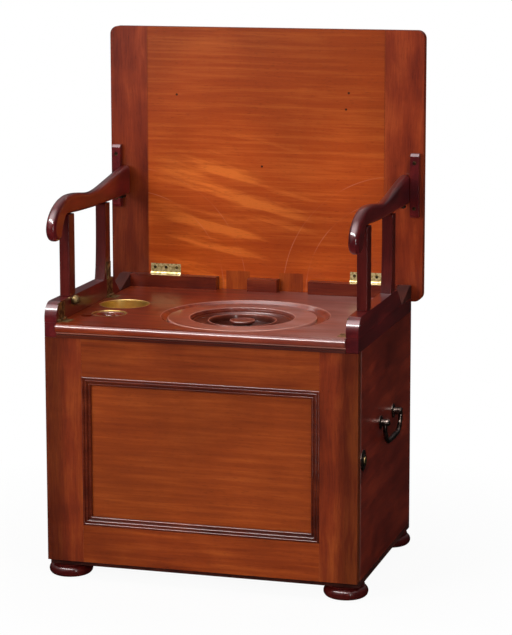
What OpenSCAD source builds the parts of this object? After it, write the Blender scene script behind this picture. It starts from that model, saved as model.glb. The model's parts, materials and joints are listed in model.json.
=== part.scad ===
// Travelling commode: a mahogany box seat on bun feet, with folding scroll arms, a hinged lid,
// a panelled door, a turned seat cover over a pan, and two brass-lined wells.
// The front of the case faces -Y. The origin is on the floor, under the middle of the whole.

/* [Case] */
// Width over the side boards
case_w = 560; // [545:1:600]
// Depth from the face of the door to the face of the back panel
case_d = 412; // [405:1:440]
// Height of the seat deck above the floor
seat_h = 457; // [440:1:490]
// Thickness of the side boards
board_t = 20; // [18:0.5:22]
// Thickness of the back panel
back_t = 16; // [12:0.5:18]
// Thickness of the bottom board
base_t = 10; // [8:0.5:14]
// Distance that the bottom board stands back from the face of the door
base_setback = 14; // [6:0.5:18]
// Gap between pieces that meet but move past each other
gap = 0.3; // [0.2:0.05:0.4]

/* [Feet] */
// Diameter of a bun foot
foot_d = 78; // [72:1:84]
// Distance that the feet stand out past the sides
foot_out = 10; // [0:1:12]
// Height of a bun foot
foot_h = 22; // [20:0.5:28]
// Diameter of the dowel in each foot
dowel_d = 12; // [8:0.5:16]

/* [Deck] */
// Thickness of the deck
deck_t = 25; // [24:0.5:28]
// Width of the clamp at each end of the deck
clamp_w = 22; // [20:0.5:23]
// Radius of the half-round nose on the front of the deck
nose_r = 7; // [6:0.25:7.5]
// Distance that the fillets of the deck's front moulding stand forward
fillet_out = 3; // [2:0.25:4]
// Height of the upper fillet of the deck's front moulding
fillet_h = 2.5; // [2:0.25:3]
// Height of the back rail above the deck
back_rail_h = 23.5; // [23:0.25:27]
// Depth of the back rail from front to back
back_rail_d = 20; // [18:0.5:22]
// Distance from the middle of the case to the middle of each gap in the back rail
rail_gap_x = 58.5; // [57.5:0.25:59.5]
// Width of each gap in the back rail
rail_gap_w = 60; // [59:0.5:62]

/* [Seat] */
// Distance of the seat to the right of the middle
seat_x = 31; // [26:1:40]
// Distance of the seat's middle behind the face of the door
seat_y = 160; // [158:1:166]
// Outer diameter of the dish in the deck
dish_d = 300; // [294:1:310]
// Distance that the dish stands to the right of the cover
dish_shift = 6; // [0:0.5:8]
// Diameter of the turned cover
cover_d = 264; // [258:1:266]
// Depth of the cover's ring below the deck
cover_drop = 3; // [2:0.5:5]
// Depth of the dish below the top of the deck
dish_deep = 8; // [6:0.5:10]
// Thickness of the cover's flange
cover_flange_t = 8; // [6:0.25:9]
// Width of the ledge that carries the cover
ledge_w = 12; // [9:0.5:14]
// Diameter of the step ring on the cover
step_ring_d = 184; // [178:1:190]
// Diameter of the bead ring on the cover
bead_ring_d = 120; // [114:1:126]
// Diameter of the cover's knob
cover_knob_d = 46; // [40:1:52]

/* [Wells] */
// Distance of the rear well's middle from the left arm rail
rear_well_in = 52; // [48:0.5:60]
// Distance of the rear well's middle in front of the rear arm hinge
rear_well_ahead = 67; // [65:0.5:72]
// Distance of the front well's middle from the left arm rail
front_well_in = 57; // [48:0.5:62]
// Distance between the middles of the wells, from front to back
well_apart = 96; // [86:0.5:100]
// Outer diameter of the rear well's brass cup
rear_well_d = 90; // [84:1:92]
// Outer diameter of the front well's brass cup
front_well_d = 61; // [58:1:62]
// Depth of the wells
well_depth = 52; // [40:1:54]
// Wall of the brass cups
cup_wall = 1.5; // [1.2:0.1:2]
// Width of the brass lip round each cup
cup_lip = 1.8; // [1.4:0.1:2]
// Diameter of the cap's knob
cap_knob_d = 23; // [18:0.5:26]

/* [Door] */
// Thickness of the door
door_t = 20; // [18:0.5:21]
// Width of the door's stiles and rails
frame_w = 67; // [60:0.5:74]
// Distance of the panel behind the face of the door
panel_in = 7; // [5:0.25:8]
// Thickness of the panel
panel_t = 8; // [6:0.25:10]
// Width of the moulding round the panel
mould_w = 15.5; // [13:0.25:18]

/* [Arms] */
// Thickness of the arms and their posts
arm_t = 19; // [17:0.5:20]
// Height of the arm rail
rail_h = 34; // [30:0.5:36]
// Radius on the front end of the arm rail
rail_round = 26; // [20:0.5:28]
// Height of the armrest's crown above the deck
arm_top = 213; // [206:0.5:214]
// Height of the armrest's rear end above the deck
arm_end_top = 229; // [222:0.5:229.5]
// Depth of the armrest's rear end from top to bottom
arm_end_h = 55; // [54:0.5:60]
// Distance of the armrest's crown behind the face of the door
crown_y = 98; // [92:1:104]
// Height of the scroll from its tip to the crown
scroll_h = 74; // [70:0.5:78]
// Depth of the armrest over the front post
arm_deep = 34; // [31:0.5:36]
// Gap between the armrest and the lid
arm_to_lid = 8; // [7.5:0.25:10]
// Distance of the front post behind the face of the door
front_post_y = 71; // [66:0.5:74]
// Depth of the front post from front to back
front_post_d = 29; // [26:0.5:32]
// Distance of the rear post behind the face of the door
rear_post_y = 260; // [254:0.5:264]
// Depth of the rear post from front to back
rear_post_d = 24; // [18:0.5:26]
// Diameter of the brass knob at the foot of the front post
arm_knob_d = 18; // [15:0.5:18.5]

/* [Lid] */
// Distance that the lid stands out past the case on each side
lid_over = 20; // [17.5:0.5:50]
// Length of the lid above its hinge
lid_above = 465; // [440:1:480]
// Length of the lid below its hinge
lid_below = 31; // [26:0.5:36]
// Thickness of the lid
lid_t = 19; // [17:0.5:22]
// Width of the clamps at the ends of the lid
lid_clamp_w = 72; // [62:1:80]
// Radius of the lid's corners
lid_corner = 15; // [10:0.5:20]
// Length of the battens on the lid
batten_l = 117; // [108:1:126]
// Width of the battens on the lid
batten_w = 16; // [14:0.5:17]
// Thickness of the battens on the lid
batten_t = 14; // [12:0.5:18]
// Height of the battens' lower ends above the hinge
batten_up = 126; // [120:1:130]
// Height of the lid's let-in patches above the hinge
patch_up = 11; // [8:0.5:14]

/* [Hinges] */
// Radius of the hinge pins
pin_r = 1.5; // [1.3:0.05:1.6]
// Running clearance round pins
pin_fit = 0.05; // [0.03:0.01:0.08]
// Wall of the hinge knuckles
knuckle_wall = 1.7; // [1.5:0.05:1.9]
// Thickness of the hinge leaves
leaf_t = 1.5; // [1.2:0.05:1.8]
// Length of the lid hinges
lid_hinge_l = 59; // [54:1:64]
// Width of each leaf of the lid hinges
lid_leaf_w = 19; // [17:0.5:20]
// Distance between each lid hinge and the lid's clamp
lid_hinge_in = 5; // [4:0.5:12]
// Length of the arm hinges
arm_hinge_l = 32; // [28:1:34]
// Length of the door hinges
door_hinge_l = 64; // [56:1:72]
// Distance of the door hinges' middles from the ends of the side
door_hinge_in = 80; // [60:1:100]

/* [Brass fittings] */
// Distance between the posts of a carrying handle
handle_span = 98; // [90:1:106]
// Drop of the carrying handle's bail
handle_drop = 36; // [32:0.5:42]
// Height of the carrying handle's posts above the floor
handle_z = 277; // [268:1:284]
// Thickness of the bail's rod
bail_d = 8; // [7:0.25:9]
// Diameter of the door catch's plate
catch_d = 37; // [32:0.5:38]
// Height of the door catch above the floor
catch_z = 240; // [232:1:248]
// Diameter of the catch's push button
button_d = 14; // [11:0.5:15]
// Length of the catch's spring
spring_l = 70; // [60:1:80]
// Height of the keeper on the door
keeper_h = 32; // [28:0.5:36]

/* [Pan] */
// Diameter of the pan's rim
pan_rim_d = 236; // [228:1:240]
// Height of the pan
pan_h = 165; // [140:1:180]
// Wall of the pan
pan_wall = 5; // [4:0.25:6]
// Thickness of the pan shelf
shelf_t = 14; // [12:0.5:16]
// Width and height of the shelf's bearers
bearer_w = 18; // [14:0.5:22]

/* [Hidden] */
$fn = 96;
half_w = case_w / 2;
inner_w = half_w - board_t;
deck_z = seat_h - deck_t;
case_z = foot_h + base_t;
nose_out = nose_r + 1;
lid_w = case_w + 2 * lid_over;
lid_y = case_d + gap;
lid_back = lid_y + lid_t;
mid_y = (lid_back - nose_out) / 2;
hair = 0.02;
dowel_in = 0.64 * foot_h;

// Seat and cover
bore_r = cover_d / 2 + 0.5;
ledge_r = bore_r - ledge_w;
cover_z = seat_h - cover_drop;
ledge_z = cover_z - cover_flange_t - gap;

// Wells
cap_drop = 12;

// Arm rail and its pin, on the inner lower edge of the rail
rail_x = half_w - clamp_w;
arm_pin_z = seat_h + 1;
rail_z = seat_h + gap;
rail_top = seat_h + rail_h + 0.5;
rail_end_low = case_d - 2.3 * rail_h;
rail_end_top = rail_end_low - 1.2 * rail_h;
arm_x = rail_x + 1;
arm_z = seat_h + arm_top;
arm_end_y = lid_y - arm_to_lid;
under_z = arm_z - arm_deep;
end_top = seat_h + arm_end_top;
end_low = end_top - arm_end_h;
knob_r = arm_knob_d / 2;
knob_y = front_post_y + knob_r;
knob_up = rail_h - 8;
knob_out = 6.5;
stem_d = 7;
stem_l = 14;
pocket_r = knob_r + 1.2;
pocket_depth = knob_out + knob_r + 0.5;
arm_hinges = [rail_round + 1, rail_end_top - arm_hinge_l / 2];
rear_well = [rear_well_in - rail_x, arm_hinges[1] - rear_well_ahead];
front_well = [front_well_in - rail_x, rear_well[1] - well_apart];
front_leaf_up = rail_h - 3;
rear_leaf_up = 2 * arm_hinge_l;
deck_leaf_w = 18;

// Lid and its pin, on the rear upper edge of the back rail
back_rail_top = seat_h + back_rail_h;
lid_pin = [case_d + gap / 2, back_rail_top + gap / 2];
lid_low = lid_pin[1] - lid_below;
lid_high = lid_pin[1] + lid_above;
batten_x = arm_x + arm_t + 0.5;
batten_z = lid_pin[1] + batten_up;
lid_hinge_x = lid_w / 2 - lid_clamp_w - lid_hinge_in - lid_hinge_l / 2;
patch_t = lid_t / 3;
patch_w = rail_gap_w - 14;
knuckle_r = pin_r + knuckle_wall;
groove_r = knuckle_r + gap;

// Door
door_low = case_z + 0.5;
door_high = deck_z - 0.5;
door_h = door_high - door_low;
door_back = door_t - gap;
side_y = door_t;
door_pin = [-half_w - 3, door_t - gap / 2];
door_leaf_w = 20;
door_hinges = [case_z + door_hinge_in, deck_z - door_hinge_in];
open_w = case_w - 2 * frame_w;
open_h = door_h - 2 * frame_w;

// Handles and catch
handle_y = (side_y + case_d) / 2 + 2;
handle_out = 11;
post_r = 6.5;
eye_r = 3;
rose_r = 13;
rose_t = 2.5;
catch_y = side_y + catch_d / 2 + 0.5;
spring_w = 12;
spring_t = 1.2;
keeper_w = 18;
keeper_in = 6;
spigot_l = 12;
spigot_d = 6;
plate_t = 2;
button_out = 5;
button_travel = 3;

// Pan and its shelf
shelf_z = seat_h - well_depth - shelf_t - 3;
pan_r = pan_rim_d / 2;
pan_body_r = pan_r - 12;
pan_rim_t = 8;

wood_red = "#6f2418";
wood_dark = "#4a1814";
wood_warm = "#93401c";
wood_orange = "#a34d1b";
brass = "#b8984c";
dark_brass = "#5c4a2c";
iron = "#3b3632";
cream = "#e9e2d0";

// Shared helpers

// Moves a piece from the case's own measure, with y = 0 at the door's face, to the origin's frame
module in_case() {
    translate([0, -mid_y, 0]) children();
}

// Draws its children on both sides of the middle plane
module both_sides() {
    children();
    mirror([1, 0, 0]) children();
}

// A box between two corners
module block(low, high) {
    translate(low) cube(high - low);
}

// An outline in y and z, drawn out along x from x0
module slab_yz(x0, thick) {
    translate([x0, 0, 0]) rotate([90, 0, 90]) linear_extrude(thick) children();
}

// Points on a cubic curve from a to d, without its first point
function curve(a, b, c, d, n = 10) = [
    for (i = [1:n])
        let (t = i / n, s = 1 - t)
        s * s * s * a + 3 * s * s * t * b + 3 * s * t * t * c + t * t * t * d
];

// Points on an arc about c, from angle a0 to a1
function arc(c, r, a0, a1, n = 8) = [
    for (i = [0:n])
        let (a = a0 + (a1 - a0) * i / n)
        [c[0] + r * cos(a), c[1] + r * sin(a)]
];

// Hinges: the pin lies along y, the leaf reaches along +x, its face is drop below the pin

// Knuckles along y: the outer two of three for the fixed leaf, the middle one for the moving leaf
module knuckles(len, moving, r, play = 0) {
    third = len / 3;
    spans = moving ? [[-third / 2, third / 2]] : [[-len / 2, -third / 2], [third / 2, len / 2]];
    for (s = spans) {
        low = s[0] + (s[0] > -len / 2 ? gap / 2 : 0) - play;
        high = s[1] - (s[1] < len / 2 ? gap / 2 : 0) + play;
        translate([0, low, 0]) rotate([-90, 0, 0]) cylinder(r = r, h = high - low);
    }
}

module hinge_leaf(len, wide, moving, drop = 0) {
    difference() {
        union() {
            translate([0, -len / 2, -drop - leaf_t]) cube([wide, len, leaf_t]);
            knuckles(len, moving, knuckle_r);
        }
        knuckles(len, !moving, groove_r, gap / 2);
        translate([0, -len, 0]) rotate([-90, 0, 0]) cylinder(r = pin_r + pin_fit, h = 2 * len);
    }
}

// The room that a leaf and its knuckles take in the wood
module leaf_cut(len, wide, drop = 0) {
    translate([0, -len / 2, -drop - leaf_t]) cube([wide, len, leaf_t + drop + 1]);
    translate([0, -len / 2 - gap, 0]) rotate([-90, 0, 0]) cylinder(r = groove_r, h = len + 2 * gap);
}

module hinge_pin(len) {
    translate([0, -len / 2, 0]) rotate([-90, 0, 0]) cylinder(r = pin_r, h = len);
}

// Places of the hinges

module at_arm_hinge(y) {
    translate([rail_x, y, arm_pin_z]) children();
}

module arm_leaf_turn() {
    rotate([0, -90, 0]) children();
}

module deck_leaf_turn() {
    mirror([1, 0, 0]) children();
}

module at_lid_hinge() {
    translate([lid_hinge_x, lid_pin[0], lid_pin[1]]) children();
}

module lid_leaf_turn() {
    rotate([0, 0, 90]) rotate([0, -90, 0]) children();
}

module rear_leaf_turn() {
    rotate([0, 0, 90]) rotate([0, 90, 0]) children();
}

module at_door_hinges() {
    for (z = door_hinges) translate([door_pin[0], door_pin[1], z]) children();
}

module door_leaf_turn() {
    rotate([-90, 0, 0]) children();
}

module side_leaf_turn() {
    rotate([90, 0, 0]) children();
}

// Case

module base_board() {
    color(wood_dark) in_case() difference() {
        block([-half_w, base_setback, foot_h], [half_w, case_d, case_z]);
        at_feet() translate([0, 0, foot_h - 1]) cylinder(d = dowel_d, h = base_t + 2);
    }
}

module at_feet() {
    for (x = [-1, 1], y = [foot_d / 2, case_d - foot_d / 2])
        translate([x * (half_w + foot_out - foot_d / 2), y, 0]) children();
}

// A flattened bun: flat below, flat above, round at the side
module bun_feet() {
    side_r = foot_h * 0.56;
    belly = foot_d / 2 - side_r;
    color(wood_dark) in_case() at_feet() difference() {
        rotate_extrude() intersection() {
            translate([0, 0]) square([foot_d, foot_h]);
            union() {
                square([belly, foot_h]);
                translate([belly, foot_h / 2]) circle(r = side_r);
            }
        }
        translate([0, 0, foot_h - dowel_in]) cylinder(d = dowel_d, h = foot_h);
    }
}

module foot_dowels() {
    color(wood_warm) in_case() at_feet()
        translate([0, 0, foot_h - dowel_in]) cylinder(d = dowel_d, h = dowel_in + base_t);
}

module side_board() {
    block([inner_w, side_y, case_z], [half_w, case_d, deck_z]);
}

module left_side_board() {
    color(wood_dark) in_case() difference() {
        mirror([1, 0, 0]) side_board();
        at_door_hinges() side_leaf_turn() leaf_cut(door_hinge_l, door_leaf_w, gap / 2);
        mirror([1, 0, 0]) post_holes();
    }
}

module right_side_board() {
    color(wood_dark) in_case() difference() {
        side_board();
        translate([inner_w - 1, catch_y, catch_z]) rotate([0, 90, 0])
            cylinder(d = button_d + 2 * pin_fit, h = board_t + 2);
        post_holes();
    }
}

module back_panel() {
    color(wood_warm) in_case()
        block([-inner_w, case_d - back_t, case_z], [inner_w, case_d, deck_z]);
}

// Deck

module deck_front() {
    translate([-rail_x, 0, 0]) rotate([90, 0, 90]) linear_extrude(2 * rail_x) {
        translate([-fillet_out, seat_h - fillet_h]) square([fillet_out + 1, fillet_h]);
        translate([nose_r - nose_out, seat_h - fillet_h - nose_r + 0.5]) circle(r = nose_r);
        translate([-fillet_out, deck_z]) square([fillet_out + 1, 2 * fillet_h]);
    }
}

// The bore for the cover and its ledge, and the dish turned about its own middle
module dish_cut() {
    rim = dish_d / 2;
    low = bore_r + dish_shift + 0.5;
    dish_z = seat_h - dish_deep;
    translate([seat_x, seat_y, 0]) {
        translate([0, 0, deck_z - 1]) cylinder(r = ledge_r, h = deck_t + 2);
        translate([0, 0, ledge_z]) cylinder(r = bore_r, h = deck_t);
    }
    translate([seat_x + dish_shift, seat_y, 0]) rotate_extrude() polygon(concat(
        [[0, dish_z], [low, dish_z]],
        curve([low, dish_z], [low + 3, dish_z], [rim - 4, seat_h - 3], [rim, seat_h], 6),
        [[rim, seat_h + 1], [0, seat_h + 1]]
    ));
}

module well_cut(place, d) {
    translate([place[0], place[1], deck_z - 1]) cylinder(d = d, h = deck_t + 2);
    translate([place[0], place[1], seat_h - cup_wall]) cylinder(d = d + 2 * cup_lip, h = 5);
}

module deck_board() {
    color(wood_red) in_case() difference() {
        union() {
            block([-rail_x, 0, deck_z], [rail_x, case_d, seat_h]);
            deck_front();
        }
        dish_cut();
        well_cut(rear_well, rear_well_d);
        well_cut(front_well, front_well_d);
        both_sides() for (y = arm_hinges)
            at_arm_hinge(y) deck_leaf_turn() leaf_cut(arm_hinge_l, deck_leaf_w, arm_pin_z - seat_h);
        translate([knob_up - rail_x, knob_y, seat_h - pocket_depth])
            cylinder(r = pocket_r, h = pocket_depth + 1);
    }
}

module deck_clamp() {
    difference() {
        block([rail_x, 0, deck_z], [half_w, case_d, seat_h]);
        for (y = arm_hinges)
            at_arm_hinge(y) translate([0, -arm_hinge_l / 2 - gap, 0]) rotate([-90, 0, 0])
                cylinder(r = groove_r, h = arm_hinge_l + 2 * gap);
    }
}

module left_deck_clamp() {
    color(wood_dark) in_case() mirror([1, 0, 0]) deck_clamp();
}

module right_deck_clamp() {
    color(wood_dark) in_case() deck_clamp();
}

module back_rail_blocks() {
    color(wood_red) in_case() difference() {
        block([-rail_x, case_d - back_rail_d, seat_h], [rail_x, case_d, back_rail_top]);
        both_sides() {
            translate([rail_gap_x - rail_gap_w / 2, case_d - back_rail_d - 1, seat_h - 1])
                cube([rail_gap_w, back_rail_d + 2, back_rail_h + 2]);
            at_lid_hinge() rear_leaf_turn() leaf_cut(lid_hinge_l, lid_leaf_w, gap / 2);
        }
    }
}

// Sloping blocks in line with the arm rails, behind the notch
module rear_corner_wedges() {
    color(wood_dark) in_case() both_sides() slab_yz(rail_x, clamp_w) polygon([
        [rail_end_low, seat_h], [case_d, seat_h], [case_d, back_rail_top],
        [case_d - back_rail_d + 2, back_rail_top]
    ]);
}

// Turned cover: a flat ring, a step ring, a bead ring and a knob in the hollow
module seat_cover() {
    rim = cover_d / 2;
    plug = ledge_r - 0.5;
    step_r = step_ring_d / 2;
    bead_r = bead_ring_d / 2;
    knob = cover_knob_d / 2;
    low = deck_z - 1;
    floor_z = cover_z - 16;
    knob_z = cover_z - 4;
    bead_z = cover_z - 6.5;
    color(wood_red) in_case() translate([seat_x, seat_y, 0]) rotate_extrude() {
        polygon([
            [0, low], [plug, low], [plug, ledge_z + gap], [rim, ledge_z + gap],
            [rim, cover_z - 1], [rim - 1, cover_z], [step_r, cover_z - 0.5],
            [step_r - 1, cover_z - 4], [step_r - 8, cover_z - 5], [bead_r + 3, bead_z],
            [bead_r - 3, bead_z], [bead_r - 5, floor_z], [0, floor_z]
        ]);
        translate([step_r - 4, cover_z - 4.2]) circle(r = 2);
        translate([bead_r, bead_z + 0.2]) circle(r = 3);
        polygon(concat(
            [[0, floor_z - 1], [knob * 0.6, floor_z - 1], [knob * 0.55, floor_z + 4]],
            arc([knob - 3, knob_z - 3.5], 3, -60, 60, 6),
            [[knob - 6, knob_z - 0.5], [0, knob_z]]
        ));
    }
}

// Brass cups

module cup(d) {
    r = d / 2;
    low = seat_h - well_depth;
    rotate_extrude() polygon([
        [0, low], [r, low], [r, seat_h - cup_wall], [r + cup_lip, seat_h - cup_wall],
        [r + cup_lip, seat_h], [r - cup_wall, seat_h], [r - cup_wall, low + cup_wall],
        [0, low + cup_wall]
    ]);
}

module rear_well_cup() {
    color(brass) in_case() translate(rear_well) cup(rear_well_d);
}

// The front cup has a ring inside, on which the cap rests
module front_well_cup() {
    r = front_well_d / 2 - cup_wall;
    color(brass) in_case() translate(front_well) {
        cup(front_well_d);
        translate([0, 0, seat_h - cap_drop - 3]) difference() {
            cylinder(r = r + hair, h = 3);
            translate([0, 0, -1]) cylinder(r = r - 2.5, h = 5);
        }
    }
}

module well_cap() {
    r = front_well_d / 2 - cup_wall - 0.3;
    k = cap_knob_d / 2;
    low = seat_h - cap_drop;
    color(wood_red) in_case() translate(front_well) rotate_extrude() polygon(concat(
        [[0, low], [r, low], [r, seat_h - 4], [r - 1.5, seat_h - 2.5], [r - 6, seat_h - 3],
            [r - 8, seat_h - 7], [k * 0.7, seat_h - 7]],
        arc([k - 2, seat_h - 3.2], 2, -50, 70, 5),
        [[k * 0.5, seat_h - 0.6], [0, seat_h - 0.4]]
    ));
}

// Pan and what carries it

module shelf_bearers() {
    color(wood_warm) in_case() both_sides()
        block([inner_w - bearer_w, side_y + bearer_w, shelf_z - bearer_w], [inner_w, case_d - back_t, shelf_z]);
}

module pan_shelf() {
    color(wood_warm) in_case() difference() {
        block([-inner_w, side_y + 2, shelf_z], [inner_w, case_d - back_t, shelf_z + shelf_t]);
        translate([seat_x, seat_y, shelf_z - 1]) cylinder(r = pan_body_r + 2, h = shelf_t + 2);
    }
}

// A round pan hung by its rim
module pan() {
    rest = shelf_z + shelf_t + gap;
    top = rest + pan_rim_t;
    low = top - pan_h;
    foot = pan_body_r * 0.72;
    inner = pan_body_r - pan_wall;
    color(cream) in_case() translate([seat_x, seat_y, 0]) rotate_extrude() polygon(concat(
        [[0, low], [foot, low]],
        curve([foot, low], [pan_body_r - pan_wall, low], [pan_body_r, low + 0.18 * pan_h],
            [pan_body_r, low + 0.42 * pan_h], 8),
        [[pan_body_r, rest], [pan_r, rest], [pan_r, top - 2], [pan_r - 2, top], [inner, top]],
        curve([inner, top], [inner, low + 0.24 * pan_h], [inner - pan_wall, low + pan_wall],
            [0, low + pan_wall], 10)
    ));
}

// Door

module door_stiles() {
    color(wood_red) in_case() difference() {
        both_sides() block([half_w - frame_w, 0, door_low], [half_w, door_back, door_high]);
        at_door_hinges() door_leaf_turn() leaf_cut(door_hinge_l, door_leaf_w, gap / 2);
        keeper_cut();
    }
}

module door_rails() {
    color(wood_warm) in_case() {
        block([-open_w / 2, 0, door_low], [open_w / 2, door_back, door_low + frame_w]);
        block([-open_w / 2, 0, door_high - frame_w], [open_w / 2, door_back, door_high]);
    }
}

module door_panel() {
    color(wood_orange) in_case() block(
        [-open_w / 2, panel_in, door_low + frame_w],
        [open_w / 2, panel_in + panel_t, door_high - frame_w]
    );
}

// Section of the moulding: x runs in from the frame, y runs forward from the panel
module mould_section() {
    square([mould_w, 3]);
    square([mould_w * 0.62, panel_in - 2]);
    translate([0, 0]) square([2.6, panel_in]);
    translate([4.6, panel_in - 1.2]) circle(r = 3, $fn = 48);
    translate([mould_w - 2.2, 2.6]) circle(r = 2.2, $fn = 48);
}

// One mitred length of moulding, below the panel's middle
module mould_stick(len, half_other) {
    intersection() {
        translate([-len / 2, panel_in, -half_other]) rotate([90, 0, 90]) linear_extrude(len)
            rotate(90) mould_section();
        translate([0, 20, -half_other]) rotate([90, 0, 0]) linear_extrude(40)
            polygon([[-len / 2, 0], [len / 2, 0], [len / 2 - mould_w, mould_w], [mould_w - len / 2, mould_w]]);
    }
}

module panel_moulding() {
    color(wood_warm) in_case() translate([0, 0, (door_low + door_high) / 2]) {
        for (a = [0, 180]) rotate([0, a, 0]) mould_stick(open_w, open_h / 2);
        for (a = [90, 270]) rotate([0, a, 0]) mould_stick(open_h, open_w / 2);
    }
}

module door_hinge_leaves() {
    color(brass) in_case() at_door_hinges() door_leaf_turn()
        hinge_leaf(door_hinge_l, door_leaf_w, true, gap / 2);
}

module case_hinge_leaves() {
    color(brass) in_case() at_door_hinges() side_leaf_turn()
        hinge_leaf(door_hinge_l, door_leaf_w, false, gap / 2);
}

module door_hinge_pins() {
    color(brass) in_case() at_door_hinges() door_leaf_turn() hinge_pin(door_hinge_l);
}

// Keeper plate let into the back of the door, with a tongue beside the spring

module keeper_cut() {
    block(keeper_low(leaf_t), [inner_w - keeper_in, door_back + 1, catch_z + keeper_h / 2]);
}

function keeper_low(deep) =
    [inner_w - keeper_in - keeper_w, door_back - deep, catch_z - keeper_h / 2];

module door_keeper() {
    color(brass) in_case() {
        block(keeper_low(leaf_t), [inner_w - keeper_in, door_back, catch_z + keeper_h / 2]);
        block([inner_w - 1.5 * keeper_in, door_back - hair, catch_z - keeper_h / 4],
            [inner_w - keeper_in, catch_y + spring_w / 2, catch_z + keeper_h / 4]);
    }
}

module catch_plate() {
    color(dark_brass) in_case() translate([half_w, catch_y, catch_z]) rotate([0, 90, 0]) difference() {
        rotate_extrude() polygon([
            [0, 0], [catch_d / 2, 0], [catch_d / 2, plate_t * 0.5], [catch_d / 2 - 2, plate_t],
            [button_d / 2 + 3.5, plate_t], [button_d / 2 + 2.5, plate_t + 1], [0, plate_t + 1]
        ]);
        translate([0, 0, -1]) cylinder(d = button_d + 2 * pin_fit, h = plate_t + 4);
    }
}

module catch_button() {
    r = button_d / 2;
    color(brass) in_case() translate([0, catch_y, catch_z]) rotate([0, 90, 0]) rotate_extrude() polygon(concat(
        [[0, inner_w + gap], [r, inner_w + gap]],
        arc([r - 1.5, half_w + button_out - 1.5], 1.5, 0, 60, 4),
        [[r * 0.4, half_w + button_out + 0.6], [0, half_w + button_out + 0.7]]
    ));
}

// A strip of spring brass on a foot inside the case, clear of the button's travel
module catch_spring() {
    face = inner_w - button_travel - 0.4;
    high = catch_z + spring_w;
    low = high - spring_l;
    front = catch_y - spring_w / 2;
    color(brass) in_case() {
        block([face - spring_t, front, low], [face, front + spring_w, high]);
        block([face - hair, front, low], [inner_w, front + spring_w, low + 1.2 * spring_w]);
    }
}

// Arms

// Outline of the armrest from the side: a scroll at the front, a hollow, and a square rear end
module armrest_outline() {
    h = scroll_h;
    tip = [0.4 * h, arm_z - h];
    brow = [0.03 * h, arm_z - 0.7 * h];
    crown = [crown_y, arm_z];
    hollow = crown + [1.5 * h, -0.13 * h];
    nape = [front_post_y, under_z];
    throat = [0.61 * h, arm_z - 0.82 * h];
    polygon(concat(
        [tip],
        curve(tip, tip - [0.22 * h, 0.02 * h], brow - [-0.02 * h, 0.2 * h], brow, 8),
        curve(brow, brow + [0.02 * h, 0.4 * h], crown - [0.68 * h, -0.02 * h], crown, 12),
        curve(crown, crown + [0.65 * h, -0.02 * h], hollow - [0.5 * h, 0], hollow, 8),
        curve(hollow, hollow + [0.6 * h, 0], [arm_end_y - 0.75 * h, end_top - 0.02 * h],
            [arm_end_y, end_top], 10),
        [[arm_end_y, end_low], [rear_post_y + rear_post_d, end_low], [rear_post_y, end_low]],
        curve([rear_post_y, end_low], [rear_post_y - 0.5 * h, end_low],
            [front_post_y + h, under_z - 0.04 * h], [front_post_y + front_post_d, under_z], 6),
        [nape],
        curve(nape, nape - [0.19 * h, 0.03 * h], throat + [0.06 * h, 0.13 * h], throat, 8),
        curve(throat, throat - [0.02 * h, 0.12 * h], tip + [0.12 * h, 0], tip, 5)
    ));
}

module armrest() {
    slab_yz(arm_x, arm_t) armrest_outline();
}

module front_post() {
    block([arm_x, front_post_y, rail_top], [arm_x + arm_t, front_post_y + front_post_d, under_z]);
}

// The rear post sweeps forward at its foot, and takes the hinge's strap in its inner face
module rear_post() {
    difference() {
        slab_yz(arm_x, arm_t) polygon(concat(
            [[rear_post_y + rear_post_d, rail_top], [rear_post_y + rear_post_d, end_low],
                [rear_post_y, end_low]],
            curve([rear_post_y, end_low], [rear_post_y, rail_top + 3 * rear_post_d],
                [rear_post_y - 2, rail_top + rear_post_d],
                [rear_post_y - 0.4 * rear_post_d, rail_top], 8)
        ));
        at_arm_hinge(arm_hinges[1]) arm_leaf_turn() leaf_cut(arm_hinge_l, rear_leaf_up);
    }
}

module at_arm_knob() {
    translate([rail_x, knob_y, arm_pin_z + knob_up]) rotate([0, 90, 0]) children();
}

module arm_rail() {
    difference() {
        slab_yz(rail_x, clamp_w) polygon(concat(
            [[0, rail_z]],
            arc([rail_round, rail_top - rail_round], rail_round, 180, 90, 10),
            [[rail_end_top, rail_top], [rail_end_low, rail_z]]
        ));
        at_arm_hinge(arm_hinges[0]) arm_leaf_turn() leaf_cut(arm_hinge_l, front_leaf_up);
        at_arm_hinge(arm_hinges[1]) arm_leaf_turn() leaf_cut(arm_hinge_l, rear_leaf_up);
    }
}

// Brass ball, flat against the rail, on a stem let into it
module arm_knob() {
    at_arm_knob() {
        intersection() {
            translate([0, 0, -knob_out]) sphere(r = knob_r);
            translate([0, 0, -knob_out - knob_r]) cylinder(r = knob_r, h = knob_out + knob_r);
        }
        translate([0, 0, -knob_out]) cylinder(d = stem_d, h = knob_out + stem_l);
    }
}

module arm_leaves() {
    at_arm_hinge(arm_hinges[0]) arm_leaf_turn() hinge_leaf(arm_hinge_l, front_leaf_up, true);
    difference() {
        at_arm_hinge(arm_hinges[1]) arm_leaf_turn() hinge_leaf(arm_hinge_l, rear_leaf_up, true);
        strap_trim();
    }
}

// The rear leaf is a wide foot with a narrow strap up the rear post
module strap_trim() {
    strap_low = arm_hinges[1] - 0.3 * arm_hinge_l;
    strap_high = arm_hinges[1] + 0.2 * arm_hinge_l;
    block([rail_x - 1, 0, rail_top], [rail_x + arm_t, strap_low, end_low]);
    block([rail_x - 1, strap_high, rail_top], [rail_x + arm_t, case_d, end_low]);
}

// Iron catch under the rear end of the armrest
module arm_catch() {
    block([arm_x + 0.25 * arm_t, arm_end_y - 1.7 * arm_t, end_low - gap - 0.2 * arm_t],
        [arm_x + 0.75 * arm_t, arm_end_y - 0.8 * arm_t, end_low - gap]);
}

module left_armrest() {
    color(wood_dark) in_case() mirror([1, 0, 0]) armrest();
}

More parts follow.
